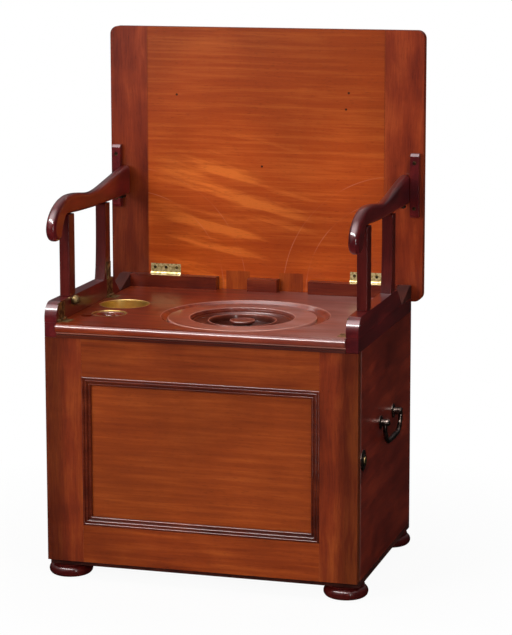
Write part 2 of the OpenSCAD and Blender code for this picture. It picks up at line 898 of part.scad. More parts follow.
module right_armrest() {
    color(wood_dark) in_case() armrest();
}

module left_front_post() {
    color(wood_dark) in_case() mirror([1, 0, 0]) front_post();
}

module right_front_post() {
    color(wood_dark) in_case() front_post();
}

module left_rear_post() {
    color(wood_dark) in_case() mirror([1, 0, 0]) rear_post();
}

module right_rear_post() {
    color(wood_dark) in_case() rear_post();
}

module left_arm_rail() {
    color(wood_dark) in_case() mirror([1, 0, 0]) difference() {
        arm_rail();
        at_arm_knob() cylinder(d = stem_d, h = stem_l);
    }
}

module right_arm_rail() {
    color(wood_dark) in_case() arm_rail();
}

module left_arm_knob() {
    color(brass) in_case() mirror([1, 0, 0]) arm_knob();
}

module left_arm_leaves() {
    color(brass) in_case() mirror([1, 0, 0]) arm_leaves();
}

module right_arm_leaves() {
    color(brass) in_case() arm_leaves();
}

module left_arm_catch() {
    color(iron) in_case() mirror([1, 0, 0]) arm_catch();
}

module right_arm_catch() {
    color(iron) in_case() arm_catch();
}

module deck_leaves() {
    color(brass) in_case() both_sides() for (y = arm_hinges)
        at_arm_hinge(y) deck_leaf_turn()
            hinge_leaf(arm_hinge_l, deck_leaf_w, false, arm_pin_z - seat_h);
}

module arm_hinge_pins() {
    color(brass) in_case() both_sides() for (y = arm_hinges) at_arm_hinge(y) hinge_pin(arm_hinge_l);
}

// Lid

module lid_outline() {
    r = lid_corner;
    x = lid_w / 2 - r;
    for (z = [lid_low + r, lid_high - r], s = [-1, 1]) translate([s * x, z]) circle(r = r);
    translate([-x, lid_low]) square([2 * x, lid_high - lid_low]);
    translate([-x - r, lid_low + r]) square([2 * (x + r), lid_high - lid_low - 2 * r]);
}

module lid_slab() {
    translate([0, lid_back, 0]) rotate([90, 0, 0]) linear_extrude(lid_t) lid_outline();
}

module lid_hinge_cuts() {
    both_sides() at_lid_hinge() lid_leaf_turn() leaf_cut(lid_hinge_l, lid_leaf_w, gap / 2);
}

module lid_board() {
    x = lid_w / 2 - lid_clamp_w;
    color(wood_orange) in_case() difference() {
        block([-x, lid_y, lid_low], [x, lid_back, lid_high]);
        lid_hinge_cuts();
        lid_screw_forms();
        lid_patch_forms();
    }
}

// Patches let into the face of the lid, behind the gaps in the back rail
module lid_patch_forms() {
    low = rail_gap_x - rail_gap_w / 2;
    both_sides() block([low, lid_y, lid_low], [low + patch_w, lid_y + patch_t, lid_pin[1] + patch_up]);
}

module lid_patches() {
    color(wood_warm) in_case() lid_patch_forms();
}

module lid_clamps() {
    x = lid_w / 2 - lid_clamp_w;
    color(wood_warm) in_case() difference() {
        lid_slab();
        block([-x, lid_y - 1, lid_low - 1], [x, lid_back + 1, lid_high + 1]);
        lid_screw_forms();
    }
}

module lid_battens() {
    bevel = batten_t / 3;
    face = lid_y - batten_t;
    high = batten_z + batten_l;
    color(wood_dark) in_case() difference() {
        both_sides() slab_yz(batten_x, batten_w) polygon([
            [lid_y, batten_z], [lid_y, high], [face + bevel, high], [face, high - bevel],
            [face, batten_z + bevel], [face + bevel, batten_z]
        ]);
        lid_screw_forms();
    }
}

module lid_leaves() {
    color(brass) in_case() difference() {
        both_sides() at_lid_hinge() lid_leaf_turn()
            hinge_leaf(lid_hinge_l, lid_leaf_w, true, gap / 2);
        lid_screw_forms();
    }
}

module rear_lid_leaves() {
    color(brass) in_case() both_sides() at_lid_hinge() rear_leaf_turn()
        hinge_leaf(lid_hinge_l, lid_leaf_w, false, gap / 2);
}

module lid_hinge_pins() {
    color(brass) in_case() both_sides() at_lid_hinge() rotate([0, 0, 90]) hinge_pin(lid_hinge_l);
}

// Screws that point to the back, with their heads flush in the faces they hold
module screw(head_r, len) {
    rotate([-90, 0, 0]) {
        cylinder(r = head_r, h = leaf_t * 0.8);
        cylinder(r = head_r * 0.45, h = len);
    }
}

module lid_screw_forms() {
    both_sides() {
        for (s = [-1, 0, 1])
            translate([lid_hinge_x + s * lid_hinge_l * 0.36, lid_y, lid_pin[1] + lid_leaf_w * 0.62])
                screw(3, 0.6 * lid_t);
        for (z = [batten_z + batten_w, batten_z + batten_l - batten_w])
            translate([batten_x + batten_w / 2, lid_y - batten_t, z])
                screw(0.21 * batten_w, batten_t + lid_t / 2);
    }
}

module lid_screws() {
    color(brass) in_case() lid_screw_forms();
}

// Carrying handles

module at_posts() {
    for (s = [-1, 1]) translate([half_w, handle_y + s * handle_span / 2, handle_z]) children();
}

module post_holes() {
    at_posts() translate([-spigot_l, 0, 0]) rotate([0, 90, 0]) cylinder(d = spigot_d, h = spigot_l + 1);
}

module handle_post() {
    difference() {
        rotate([0, 90, 0]) {
            translate([0, 0, -spigot_l]) cylinder(d = spigot_d, h = spigot_l + 1);
            rotate_extrude() polygon(concat(
                [[0, 0], [rose_r, 0], [rose_r, rose_t * 0.4], [rose_r - 3, rose_t], [post_r, rose_t + 0.5]],
                arc([0, handle_out], post_r, 0, 90, 8)
            ));
        }
        translate([handle_out, -post_r - 1, 0]) rotate([-90, 0, 0])
            cylinder(r = eye_r + pin_fit, h = 2 * post_r + 2);
    }
}

module handle_posts() {
    color(dark_brass) in_case() both_sides() at_posts() handle_post();
}

// A bail of round rod, thicker at the grip, with its ends turned in through the posts
module bail() {
    r = bail_d / 2;
    bend = 0.8 * handle_drop;
    half = handle_span / 2 + post_r + 1 + r;
    translate([half_w + handle_out, handle_y, handle_z]) {
        for (s = [-1, 1]) mirror([0, s < 0 ? 1 : 0, 0]) {
            translate([0, half, 0]) sphere(r = r);
            translate([0, half - r - post_r * 2 - 1, 0]) rotate([-90, 0, 0])
                cylinder(r = eye_r, h = r + post_r * 2 + 1);
            translate([0, half, bend - handle_drop]) cylinder(r = r, h = handle_drop - bend);
            translate([0, half - bend, bend - handle_drop]) rotate([0, 90, 0])
                rotate_extrude(angle = 90) translate([bend, 0]) circle(r = r);
            translate([0, 0, -handle_drop]) rotate([-90, 0, 0]) cylinder(r = r, h = half - bend);
            translate([0, 0, -handle_drop]) rotate([-90, 0, 0]) cylinder(r1 = r * 1.35, r2 = r, h = half - bend);
        }
    }
}

module left_bail() {
    color(dark_brass) in_case() mirror([1, 0, 0]) bail();
}

module right_bail() {
    color(dark_brass) in_case() bail();
}

base_board();
bun_feet();
foot_dowels();
left_side_board();
right_side_board();
back_panel();
shelf_bearers();
pan_shelf();
pan();
deck_board();
left_deck_clamp();
right_deck_clamp();
back_rail_blocks();
rear_corner_wedges();
seat_cover();
rear_well_cup();
front_well_cup();
well_cap();
door_stiles();
door_rails();
door_panel();
panel_moulding();
door_hinge_leaves();
case_hinge_leaves();
door_hinge_pins();
door_keeper();
catch_plate();
catch_button();
catch_spring();
left_armrest();
left_front_post();
left_rear_post();
left_arm_rail();
left_arm_knob();
left_arm_leaves();
left_arm_catch();
right_armrest();
right_front_post();
right_rear_post();
right_arm_rail();
right_arm_leaves();
right_arm_catch();
deck_leaves();
arm_hinge_pins();
lid_board();
lid_clamps();
lid_battens();
lid_patches();
lid_leaves();
rear_lid_leaves();
lid_hinge_pins();
lid_screws();
handle_posts();
left_bail();
right_bail();
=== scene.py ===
"""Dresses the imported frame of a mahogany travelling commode.

The commode is a panelled box seat on bun feet, with folding scroll arms, a hinged lid that
stands open, a turned seat cover and two brass wells. The CAD nodes give every place and size.
Each sub-assembly below is a class: its fields hold the sizes of what it adds, in millimetres
where the name ends in _mm or _r. Each finish is a frozen dataclass, and Finish lists them.
"""
from __future__ import annotations

import json
import logging
import math
from dataclasses import dataclass
from enum import Enum
from functools import cached_property
from typing import NamedTuple, Sequence, Union

import bmesh
import bpy
from mathutils import Matrix, Vector

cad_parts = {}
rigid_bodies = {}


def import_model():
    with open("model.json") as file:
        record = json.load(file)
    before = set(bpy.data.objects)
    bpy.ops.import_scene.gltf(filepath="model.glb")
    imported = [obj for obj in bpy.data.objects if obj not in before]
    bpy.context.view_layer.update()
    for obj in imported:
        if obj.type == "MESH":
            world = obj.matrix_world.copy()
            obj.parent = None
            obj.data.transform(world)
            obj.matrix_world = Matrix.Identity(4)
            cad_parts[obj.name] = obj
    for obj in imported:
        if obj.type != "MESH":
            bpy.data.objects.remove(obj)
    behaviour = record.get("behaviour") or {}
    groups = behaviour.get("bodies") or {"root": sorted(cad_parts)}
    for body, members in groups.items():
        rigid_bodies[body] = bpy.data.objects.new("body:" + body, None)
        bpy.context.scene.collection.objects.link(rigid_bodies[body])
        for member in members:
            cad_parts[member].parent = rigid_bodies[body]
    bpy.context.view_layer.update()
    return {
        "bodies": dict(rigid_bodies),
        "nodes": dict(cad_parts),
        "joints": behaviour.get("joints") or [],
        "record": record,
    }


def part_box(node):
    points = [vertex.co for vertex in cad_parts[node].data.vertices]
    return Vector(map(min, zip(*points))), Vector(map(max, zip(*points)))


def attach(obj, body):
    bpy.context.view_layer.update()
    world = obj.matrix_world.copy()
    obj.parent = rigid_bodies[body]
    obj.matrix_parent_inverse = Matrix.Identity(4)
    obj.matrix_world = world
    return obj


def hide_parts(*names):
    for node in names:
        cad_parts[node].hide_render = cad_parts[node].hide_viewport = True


log = logging.getLogger("commode")

Socket = bpy.types.NodeSocket
Share = Union[Socket, float]
Points = list[tuple[float, float]]

MM = 0.001
METRE_MM = 1000
PHOTO_HIGH_PX = 635
SENSOR_MM = 36.0
UP = Vector((0, 0, 1))
WHITE = (1, 1, 1, 1)
# A soft noise stays nearly always between the low and the high level
NOISE_LOW, NOISE_HIGH = 0.35, 0.65
NOISE_MIDDLE = (0.5, 0.5, 0.5)
# How far a board's seed moves it through the noise along each axis
SEED_WAY = (1.0, 0.7, 0.4)


class Grain(Enum):
    """The axis along which a board's grain runs, and the turn that brings it to X."""

    ALONG_X = (0.0, 0.0, 0.0)
    ALONG_Y = (0.0, 0.0, -math.pi / 2)
    ALONG_Z = (0.0, math.pi / 2, 0.0)


class Side(Enum):
    """The commode's two sides, as the sign of X."""

    LEFT = -1
    RIGHT = 1

    def of(self, part: str) -> str:
        """Gives the name of this side's node of a part."""
        return f"{self.name.lower()}_{part}"


class Glow(Enum):
    """What a lamp is for: to light the wood, or to be mirrored in its polish."""

    LIGHT = "light"
    HIGHLIGHT = "highlight"


class Fade(NamedTuple):
    """A level that runs from its first to its last value between two limits."""

    start: float
    end: float
    first: float
    last: float


class Screw(NamedTuple):
    """A slotted screw head: its radius, its slot's width and how far it stands out, in mm."""

    radius: float
    slot: float
    proud: float = 0.25


def linear(hex_colour: str) -> tuple[float, float, float, float]:
    """Turns an sRGB hex colour into linear values.

    Args:
        hex_colour: The colour as "#rrggbb".

    Returns:
        Red, green, blue and an alpha of 1, linear.
    """
    parts = [int(hex_colour[i:i + 2], 16) / 255 for i in (1, 3, 5)]
    red, green, blue = (
        c / 12.92 if c <= 0.04045 else ((c + 0.055) / 1.055) ** 2.4 for c in parts
    )
    return red, green, blue, 1.0


def arc(
    centre: tuple[float, float], radius: float, start: float, end: float, steps: int = 10,
) -> Points:
    """Draws an arc.

    Args:
        centre: The arc's centre.
        radius: Its radius.
        start: First angle in degrees.
        end: Last angle in degrees.
        steps: Number of chords.

    Returns:
        The arc's points in order.
    """
    angles = [math.radians(start + (end - start) * i / steps) for i in range(steps + 1)]
    return [(centre[0] + radius * math.cos(a), centre[1] + radius * math.sin(a)) for a in angles]


def as_mesh(work: bmesh.types.BMesh, name: str) -> bpy.types.Mesh:
    """Turns finished work into a mesh and frees it.

    Args:
        work: The work, with vertices in the row frame.
        name: The mesh's name.

    Returns:
        The mesh.
    """
    mesh = bpy.data.meshes.new(name)
    work.to_mesh(mesh)
    work.free()
    return mesh


def height_mm(node: str) -> float:
    """Gives a CAD node's height in millimetres."""
    low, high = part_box(node)
    return (high.z - low.z) / MM


class Graph:
    """The node tree of a material or of the world, and the one way to add a node to it."""

    def __init__(self, owner: bpy.types.Material | bpy.types.World) -> None:
        """Clears the owner's tree for new nodes.

        Args:
            owner: The material or the world.
        """
        owner.use_nodes = True
        self.tree = owner.node_tree
        self.tree.nodes.clear()

    def add(
        self, kind: str, inputs: Sequence[object] | dict[str | int, object] = (),
        **settings: object,
    ) -> bpy.types.bpy_prop_collection:
        """Adds one shader node with its settings, values and links.

        Args:
            kind: The node's type name, less the ShaderNode that all begin with.
            inputs: A value, or another node's output, for each input, in order or by name.
            settings: Attributes to set on the node.

        Returns:
            The new node's outputs.
        """
        node = self.tree.nodes.new("ShaderNode" + kind)
        for key, value in settings.items():
            setattr(node, key, value)
        for key, value in inputs.items() if isinstance(inputs, dict) else enumerate(inputs):
            if isinstance(value, Socket):
                self.tree.links.new(value, node.inputs[key])
            else:
                node.inputs[key].default_value = value
        return node.outputs


class MaterialGraph(Graph):
    """The node tree of a new material."""

    def __init__(self, name: str) -> None:
        """Makes the material under a name."""
        self.material = bpy.data.materials.new(name)
        super().__init__(self.material)

    @cached_property
    def place(self) -> Socket:
        """The place on the piece, in metres of the row frame."""
        return self.add("TexCoord")["Object"]

    @cached_property
    def split(self) -> bpy.types.bpy_prop_collection:
        """X, Y and Z of the place."""
        return self.add("SeparateXYZ", (self.place,))

    def paint(self, under: Socket, colour: str, *shares: Share) -> Socket:
        """Lays a colour over another one.

        Args:
            under: The colour below.
            colour: The hex colour that is laid over it.
            shares: The shares whose product says how much of it shows.

        Returns:
            The painted colour.
        """
        total = shares[0]
        for share in shares[1:]:
            total = self.add("Math", (total, share), operation="MULTIPLY")[0]
        return self.add(
            "Mix", {"Factor": total, 6: under, 7: linear(colour)}, data_type="RGBA")[2]

    def drawn_noise(
        self, vector: Socket, wide_mm: float, long_mm: float, detail: float,
        rough: float = 0.5,
    ) -> Socket:
        """Makes noise of a given width that is drawn out along X.

        Args:
            vector: The place in the board, with the grain along X.
            wide_mm: Width of one streak across the grain.
            long_mm: Its length along the grain.
            detail: The noise's detail.
            rough: The noise's roughness.

        Returns:
            The noise's level.
        """
        across = METRE_MM / wide_mm
        scaled = self.add(
            "VectorMath", (vector, (METRE_MM / long_mm, across, across)), operation="MULTIPLY")[0]
        return self.add("TexNoise", {
            "Vector": scaled, "Scale": 1.0, "Detail": detail, "Roughness": rough})[0]


def set_stops(tone: Socket, *stops: tuple[float, str]) -> None:
    """Sets the stops of the ramp that gives a tone.

    Args:
        tone: The ramp's colour output.
        stops: Each stop's level and hex colour, two or more.
    """
    elements = tone.node.color_ramp.elements
    while len(elements) < len(stops):
        elements.new(0.5)
    for element, (level, colour) in zip(elements, stops):
        element.position = level
        element.color = linear(colour)


@dataclass(frozen=True)
class SurfaceFinish:
    """A finish: its name and the nodes that make its material."""

    name: str

    def material(self) -> bpy.types.Material:
        """Makes the finish's material.

        Returns:
            The material.
        """
        graph = MaterialGraph(self.name)
        graph.add("OutputMaterial", (self._surface(graph),))
        return graph.material

    def _surface(self, graph: MaterialGraph) -> Socket:
        """Gives the finish's shader; each finish has its own."""
        raise NotImplementedError


@dataclass(frozen=True)
class FrenchPolishedMahogany(SurfaceFinish):
    """Planed Cuban mahogany under shellac, rubbed to a deep gloss.

    The eye sees broad soft bands of red and orange brown, short dark pores along the grain,
    and sharp highlights on every bead from the smooth shellac.
    """

    dark: str
    middle: str
    light: str
    grain: Grain
    band_mm: float = 26.0
    band_long_mm: float = 190.0
    # The bands' middle lines wander by this many band widths, over this many figure lengths
    wander: float = 1.2
    wander_long: float = 2.2
    streak_mm: float = 2.6
    streak_long_mm: float = 67.6
    streak_share: float = 0.28
    # The noise level of the middle tone, and how far from it the dark and the light tone lie
    middle_level: float = 0.64
    soft: float = 0.16
    # How much the figure takes over from the bands, and how much the clouds darken and lighten
    figure: float = 0.35
    figure_mm: float = 120.0
    cloud: float = 0.12
    cloud_mm: float = 210.0
    seed: float = 0.0
    roughness: float = 0.3
    bare_gloss: float = 0.15
    coat: float = 0.5
    coat_rough: float = 0.16
    # Mahogany's pores are 0.2 mm wide; they are drawn 0.8 mm wide so that they show
    pore_mm: float = 0.8
    pore_long_mm: float = 11.0
    pore_deep_mm: float = 0.2
    pore_tone: Fade = Fade(0.62, 0.72, 1.0, 0.72)

    def _surface(self, graph: MaterialGraph) -> Socket:
        """Builds the grain, its tone, the wear over it and the shellac.

        Args:
            graph: The material's nodes.

        Returns:
            The wood's shader.
        """
        turned = graph.add("Mapping", {
            "Vector": graph.place, "Location": [self.seed * way for way in SEED_WAY],
            "Rotation": self.grain.value,
        })[0]
        bend = graph.add("TexNoise", {
            "Vector": turned, "Scale": METRE_MM / (self.figure_mm * self.wander_long),
            "Detail": 2.0, "Roughness": 0.45,
        })["Color"]
        centred = graph.add("VectorMath", (bend, NOISE_MIDDLE), operation="SUBTRACT")[0]
        push = self.band_mm * MM * self.wander
        pushed = graph.add(
            "VectorMath", (centred, (0.0, push, push), turned), operation="MULTIPLY_ADD")[0]
        bands = graph.drawn_noise(
            pushed, self.band_mm, self.band_long_mm, detail=5.0, rough=0.55)
        streaks = graph.drawn_noise(
            pushed, self.streak_mm, self.streak_long_mm, detail=3.0, rough=0.6)
        pores = graph.drawn_noise(pushed, self.pore_mm, self.pore_long_mm, detail=1.0)
        blaze = graph.add("TexNoise", {
            "Vector": turned, "Scale": METRE_MM / self.figure_mm, "Detail": 3.0,
            "Roughness": 0.5, "Distortion": 0.9,
        })[0]
        plain = graph.add("Math", (bands, 1 - self.figure), operation="MULTIPLY")[0]
        figured = graph.add("Math", (blaze, self.figure, plain), operation="MULTIPLY_ADD")[0]
        lined = graph.add(
            "Math", (streaks, self.streak_share, figured), operation="MULTIPLY_ADD")[0]
        tone = graph.add("ValToRGB", (self._lift(graph, lined),))[0]
        set_stops(
            tone, (self.middle_level - self.soft, self.dark), (self.middle_level, self.middle),
            (self.middle_level + self.soft, self.light))
        deep = graph.add("MapRange", (pores, *self.pore_tone))[0]
        clouds = graph.add("TexNoise", {
            "Vector": turned, "Scale": METRE_MM / self.cloud_mm, "Detail": 1.5})[0]
        cloudy = graph.add(
            "MapRange", (clouds, NOISE_LOW, NOISE_HIGH, 1.0 - self.cloud, 1.0 + self.cloud))[0]
        level = graph.add("Math", (deep, cloudy), operation="MULTIPLY")[0]
        colour = graph.add("VectorMath", {0: tone, "Scale": level}, operation="SCALE")[0]
        bump = graph.add("Bump", {
            "Height": pores, "Strength": 0.05, "Distance": self.pore_deep_mm * MM})[0]
        return graph.add("BsdfPrincipled", {
            "Base Color": self._wear_and_painted_light(graph, colour), "Roughness": self.roughness,
            "Specular IOR Level": self.bare_gloss, "Coat Weight": self._gloss(graph),
            "Coat Roughness": self.coat_rough, "Normal": bump,
        })[0]

    def _lift(self, graph: MaterialGraph, grain: Socket) -> Socket:
        """Gives the grain's level as it is; a showy board lifts a part of it."""
        return grain

    def _wear_and_painted_light(self, graph: MaterialGraph, colour: Socket) -> Socket:
        """Gives the colour as it is; subclasses paint wear, highlights and shade over parts of it.
        """
        return colour

    def _gloss(self, graph: MaterialGraph) -> Share:
        """Gives the shellac's share, the same everywhere."""
        return self.coat


@dataclass(frozen=True)
class FlamedLidMahogany(FrenchPolishedMahogany):
    """The lid's show board: flame figure low on the left, and the wear of many years.

    The eye sees long bright streaks that fall a little to the right, pale arcs where the
    armrests' ends swing past the board, and a few small dark plugs.
    """

    flame: float = 0.42
    # The flame's middle, and how far from it the streaks are whole and how far off they end
    flame_at: tuple[float, float, float] = (-0.06, 0.2, 0.6)
    flame_core_mm: float = 48.0
    flame_reach_mm: float = 240.0
    flame_fall: float = 13.0
    flame_mm: float = 24.0
    flame_long_mm: float = 240.0
    flame_from: float = 0.5
    flame_to: float = 0.68
    arc_at: tuple[float, float, float] = (0.258, 0.0, 0.458)
    arc_mm: tuple[float, ...] = (222.0, 178.0)
    # The rubbed lines are about 0.5 mm wide; they are drawn 1.6 mm wide so that they show
    arc_wide_mm: float = 1.6
    arc_colour: str = "#d09070"
    arc_patch_mm: float = 71.43
    arc_tone: Fade = Fade(0.45, 0.7, 0.02, 0.26)
    plugs: Sequence[tuple[float, float]] = ()
    plug_r: float = 2.2
    face_y: float = 0.2035
    # Painted light and shade by height: brighter low down, darker at the top
    painted_light_by_height: Fade = Fade(0.5, 0.92, 1.32, 0.74)
    # The dirt in the joints to the clamps is 0.3 mm wide; it is drawn 1.4 mm wide so it shows
    seam_x: float = 0.2272
    seam_mm: float = 1.4
    seam_share: float = 0.4
    dirt_and_shade: str = "#4a1c0c"

    def _lift(self, graph: MaterialGraph, grain: Socket) -> Socket:
        """Lifts the grain's level along the flame's streaks.

        Args:
            graph: The material's nodes.
            grain: The grain's level.

        Returns:
            The lifted level.
        """
        tilted = graph.add("Mapping", {
            "Vector": graph.place, "Rotation": (0.0, math.radians(-self.flame_fall), 0.0)})[0]
        streaks = graph.drawn_noise(tilted, self.flame_mm, self.flame_long_mm, detail=4.0)
        bright = graph.add(
            "MapRange", (streaks, self.flame_from, self.flame_to, 0.0, self.flame),
            interpolation_type="SMOOTHSTEP")[0]
        away = graph.add(
            "VectorMath", (graph.place, self.flame_at), operation="DISTANCE")["Value"]
        near = graph.add(
            "MapRange", (away, self.flame_core_mm * MM, self.flame_reach_mm * MM, 1.0, 0.0),
            interpolation_type="SMOOTHSTEP")[0]
        return graph.add("Math", (bright, near, grain), operation="MULTIPLY_ADD")[0]

    def _wear_and_painted_light(self, graph: MaterialGraph, colour: Socket) -> Socket:
        """Draws the rubbed arcs, the plugs and the dirty joints, and paints light and shade by
        height.

        Args:
            graph: The material's nodes.
            colour: The wood's colour.

        Returns:
            The worn colour.
        """
        flat = graph.add("VectorMath", (graph.place, (1.0, 0.0, 1.0)), operation="MULTIPLY")[0]
        folded = graph.add("VectorMath", (flat,), operation="ABSOLUTE")[0]
        ahead = graph.add("Math", (graph.split[1], self.face_y), operation="LESS_THAN")[0]
        away = graph.add("VectorMath", (folded, self.arc_at), operation="DISTANCE")["Value"]
        patches = graph.add("TexNoise", {
            "Vector": graph.place, "Scale": METRE_MM / self.arc_patch_mm, "Detail": 2.0})[0]
        faint = graph.add("MapRange", (patches, *self.arc_tone))[0]
        for radius in self.arc_mm:
            share = graph.add(
                "Math", (away, radius * MM, self.arc_wide_mm / 2 * MM), operation="COMPARE")[0]
            colour = graph.paint(colour, self.arc_colour, share, faint, ahead)
        for x, z in self.plugs:
            gap = graph.add("VectorMath", (flat, (x, 0.0, z)), operation="DISTANCE")["Value"]
            share = graph.add("Math", (gap, self.plug_r * MM), operation="LESS_THAN")[0]
            colour = graph.paint(colour, self.dirt_and_shade, share, ahead)
        across = graph.add("Math", (graph.split[0],), operation="ABSOLUTE")[0]
        seam = graph.add(
            "Math", (across, self.seam_x, self.seam_mm / 2 * MM), operation="COMPARE")[0]
        seamed = graph.paint(colour, self.dirt_and_shade, seam, self.seam_share)
        # Painted light and shade: the board is brighter low down and darker at the top
        painted_light_level = graph.add("MapRange", (graph.split[2], *self.painted_light_by_height))[0]
        return graph.add("VectorMath", {0: seamed, "Scale": painted_light_level}, operation="SCALE")[0]


@dataclass(frozen=True)
class SheenPaintedMahogany(FrenchPolishedMahogany):
    """Mahogany with a painted sheen: a pale pinkish colour that grows towards the right.

    It also has painted highlights: pale thin rings along the turned edges.
    """

    painted_sheen: float = 0.3
    painted_sheen_colour: str = "#b48a84"
    # The painted sheen grows between these places along X and lies whole where the wood is at flat_z
    painted_sheen_from: float = -0.05
    painted_sheen_to: float = 0.28
    painted_sheen_mm: float = 30.0
    painted_sheen_long_mm: float = 90.0
    flat_z: float = 0.4532
    dip_mm: float = 1.5
    dip_share: float = 0.15
    highlight_ring_at: tuple[float, float, float] = (0.031, -0.05165, 0.0)
    ring_mm: tuple[float, ...] = ()
    # Painted highlight rings along the turned edges, drawn 1.6 mm wide so that they show
    highlight_ring_wide_mm: float = 1.6
    highlight_ring_share: float = 0.45
    painted_highlight_colour: str = "#d49c8c"

    def _wear_and_painted_light(self, graph: MaterialGraph, colour: Socket) -> Socket:
        """Paints the sheen over the flat wood and draws the highlight rings.

        Args:
            graph: The material's nodes.
            colour: The wood's colour.

        Returns:
            The worn colour.
        """
        across, _, height = graph.split
        grown = graph.add("MapRange", (across, self.painted_sheen_from, self.painted_sheen_to, 0.0, self.painted_sheen))[0]
        on_flat = graph.add("MapRange", (
            height, self.flat_z - self.dip_mm * MM, self.flat_z, self.dip_share, 1.0))[0]
        # Painted sheen over the flat wood
        patchy = graph.drawn_noise(graph.place, self.painted_sheen_mm, self.painted_sheen_long_mm, detail=3.0)
        colour = graph.paint(colour, self.painted_sheen_colour, grown, patchy, on_flat)
        level = graph.add("VectorMath", (graph.place, (1.0, 1.0, 0.0)), operation="MULTIPLY")[0]
        away = graph.add("VectorMath", (level, self.highlight_ring_at), operation="DISTANCE")["Value"]
        # Painted highlight rings on the turned edges
        for radius in self.ring_mm:
            arris_highlight = graph.add(
                "Math", (away, radius * MM, self.highlight_ring_wide_mm / 2 * MM), operation="COMPARE")[0]
            colour = graph.paint(colour, self.painted_highlight_colour, arris_highlight, self.highlight_ring_share)
        return colour


@dataclass(frozen=True)
class TurnedMahogany(SheenPaintedMahogany):
    """Turned mahogany, with painted shade that darkens its hollows."""

    rim_z: float = 0.4515
    hollow_z: float = 0.442
    hollow_shade_level: float = 0.25
    hollow_gloss: float = 0.1

    def _wear_and_painted_light(self, graph: MaterialGraph, colour: Socket) -> Socket:
        """Paints shade on the wood below the rim.

        Args:
            graph: The material's nodes.
            colour: The wood's colour.

        Returns:
            The worn colour.
        """
        sheen_and_highlights = super()._wear_and_painted_light(graph, colour)
        # Painted shade in the hollows
        kept = graph.add("MapRange", (
            graph.split[2], self.hollow_z, self.rim_z, self.hollow_shade_level, 1.0))[0]
        return graph.add("VectorMath", {0: sheen_and_highlights, "Scale": kept}, operation="SCALE")[0]

    def _gloss(self, graph: MaterialGraph) -> Share:
        """Dulls the shellac in the hollows."""
        return graph.add("MapRange", (
            graph.split[2], self.hollow_z, self.rim_z, self.hollow_gloss * self.coat, self.coat,
        ))[0]


@dataclass(frozen=True)
class DeckMahogany(SheenPaintedMahogany):
    """The deck: its nose and its dished ring shine, and its flat has gone duller."""

    nose_y: float = -0.2
    # The flat's share of the gloss, and how far below it the gloss is whole
    flat_share: float = 0.2
    flat_mm: float = 0.3
    # A painted highlight line runs this far above and below the fillet's middle
    fillet_z: float = 0.4398
    fillet_mm: float = 0.9
    fillet_highlight_share: float = 0.4
    # The colour and share of the painted shade under the fillet
    dirt_and_shade: str = "#2c0f0a"
    painted_shade_share: float = 0.7

    def _wear_and_painted_light(self, graph: MaterialGraph, colour: Socket) -> Socket:
        """Paints a highlight line on the fillet below the nose, and painted shade under it.

        Args:
            graph: The material's nodes.
            colour: The wood's colour.

        Returns:
            The worn colour.
        """
        sheen_and_highlights = super()._wear_and_painted_light(graph, colour)
        _, forward, height = graph.split
        # Painted highlight line on the fillet
        arris_highlight = graph.add(
            "Math", (height, self.fillet_z, self.fillet_mm * MM), operation="COMPARE")[0]
        ahead = graph.add("Math", (forward, self.nose_y), operation="LESS_THAN")[0]
        lined = graph.paint(sheen_and_highlights, self.painted_highlight_colour, arris_highlight, ahead, self.fillet_highlight_share)
        # Painted shade below the fillet's highlight line
        below = graph.add("Math", (
            height, self.fillet_z - self.fillet_mm * MM), operation="LESS_THAN")[0]
        return graph.paint(lined, self.dirt_and_shade, below, ahead, self.painted_shade_share)

    def _gloss(self, graph: MaterialGraph) -> Share:
        """Keeps the full gloss to what lies below the flat."""
        return graph.add("MapRange", (
            graph.split[2], self.flat_z - self.flat_mm * MM, self.flat_z, self.coat,
            self.coat * self.flat_share,
        ))[0]


@dataclass(frozen=True)
class StileMahogany(FrenchPolishedMahogany):
    """A door stile: pale beside the panel and darker towards its outer edge."""

    edge_tone: Fade = Fade(0.235, 0.262, 1.0, 0.52)

    def _wear_and_painted_light(self, graph: MaterialGraph, colour: Socket) -> Socket:
        """Darkens the stile towards its outer edge.

        Args:
            graph: The material's nodes.
            colour: The wood's colour.

        Returns:
            The worn colour.
        """
        across = graph.add("Math", (graph.split[0],), operation="ABSOLUTE")[0]
        kept = graph.add(
            "MapRange", (across, *self.edge_tone), interpolation_type="SMOOTHSTEP")[0]
        return graph.add("VectorMath", {0: colour, "Scale": kept}, operation="SCALE")[0]


@dataclass(frozen=True)
class ClampMahogany(FrenchPolishedMahogany):
    """The lid's clamps: the left one is darker towards its foot."""

    foot_tone: Fade = Fade(0.6, 0.78, 0.62, 1.0)

    def _wear_and_painted_light(self, graph: MaterialGraph, colour: Socket) -> Socket:
        """Darkens the lower part of the left clamp.

        Args:
            graph: The material's nodes.
            colour: The wood's colour.

        Returns:
            The worn colour.
        """
        across, _, height = graph.split
        kept = graph.add(
            "MapRange", (height, *self.foot_tone), interpolation_type="SMOOTHSTEP")[0]
        right = graph.add("Math", (across, 0.0), operation="GREATER_THAN")[0]
        level = graph.add("Math", (kept, right), operation="MAXIMUM")[0]
        return graph.add("VectorMath", {0: colour, "Scale": level}, operation="SCALE")[0]


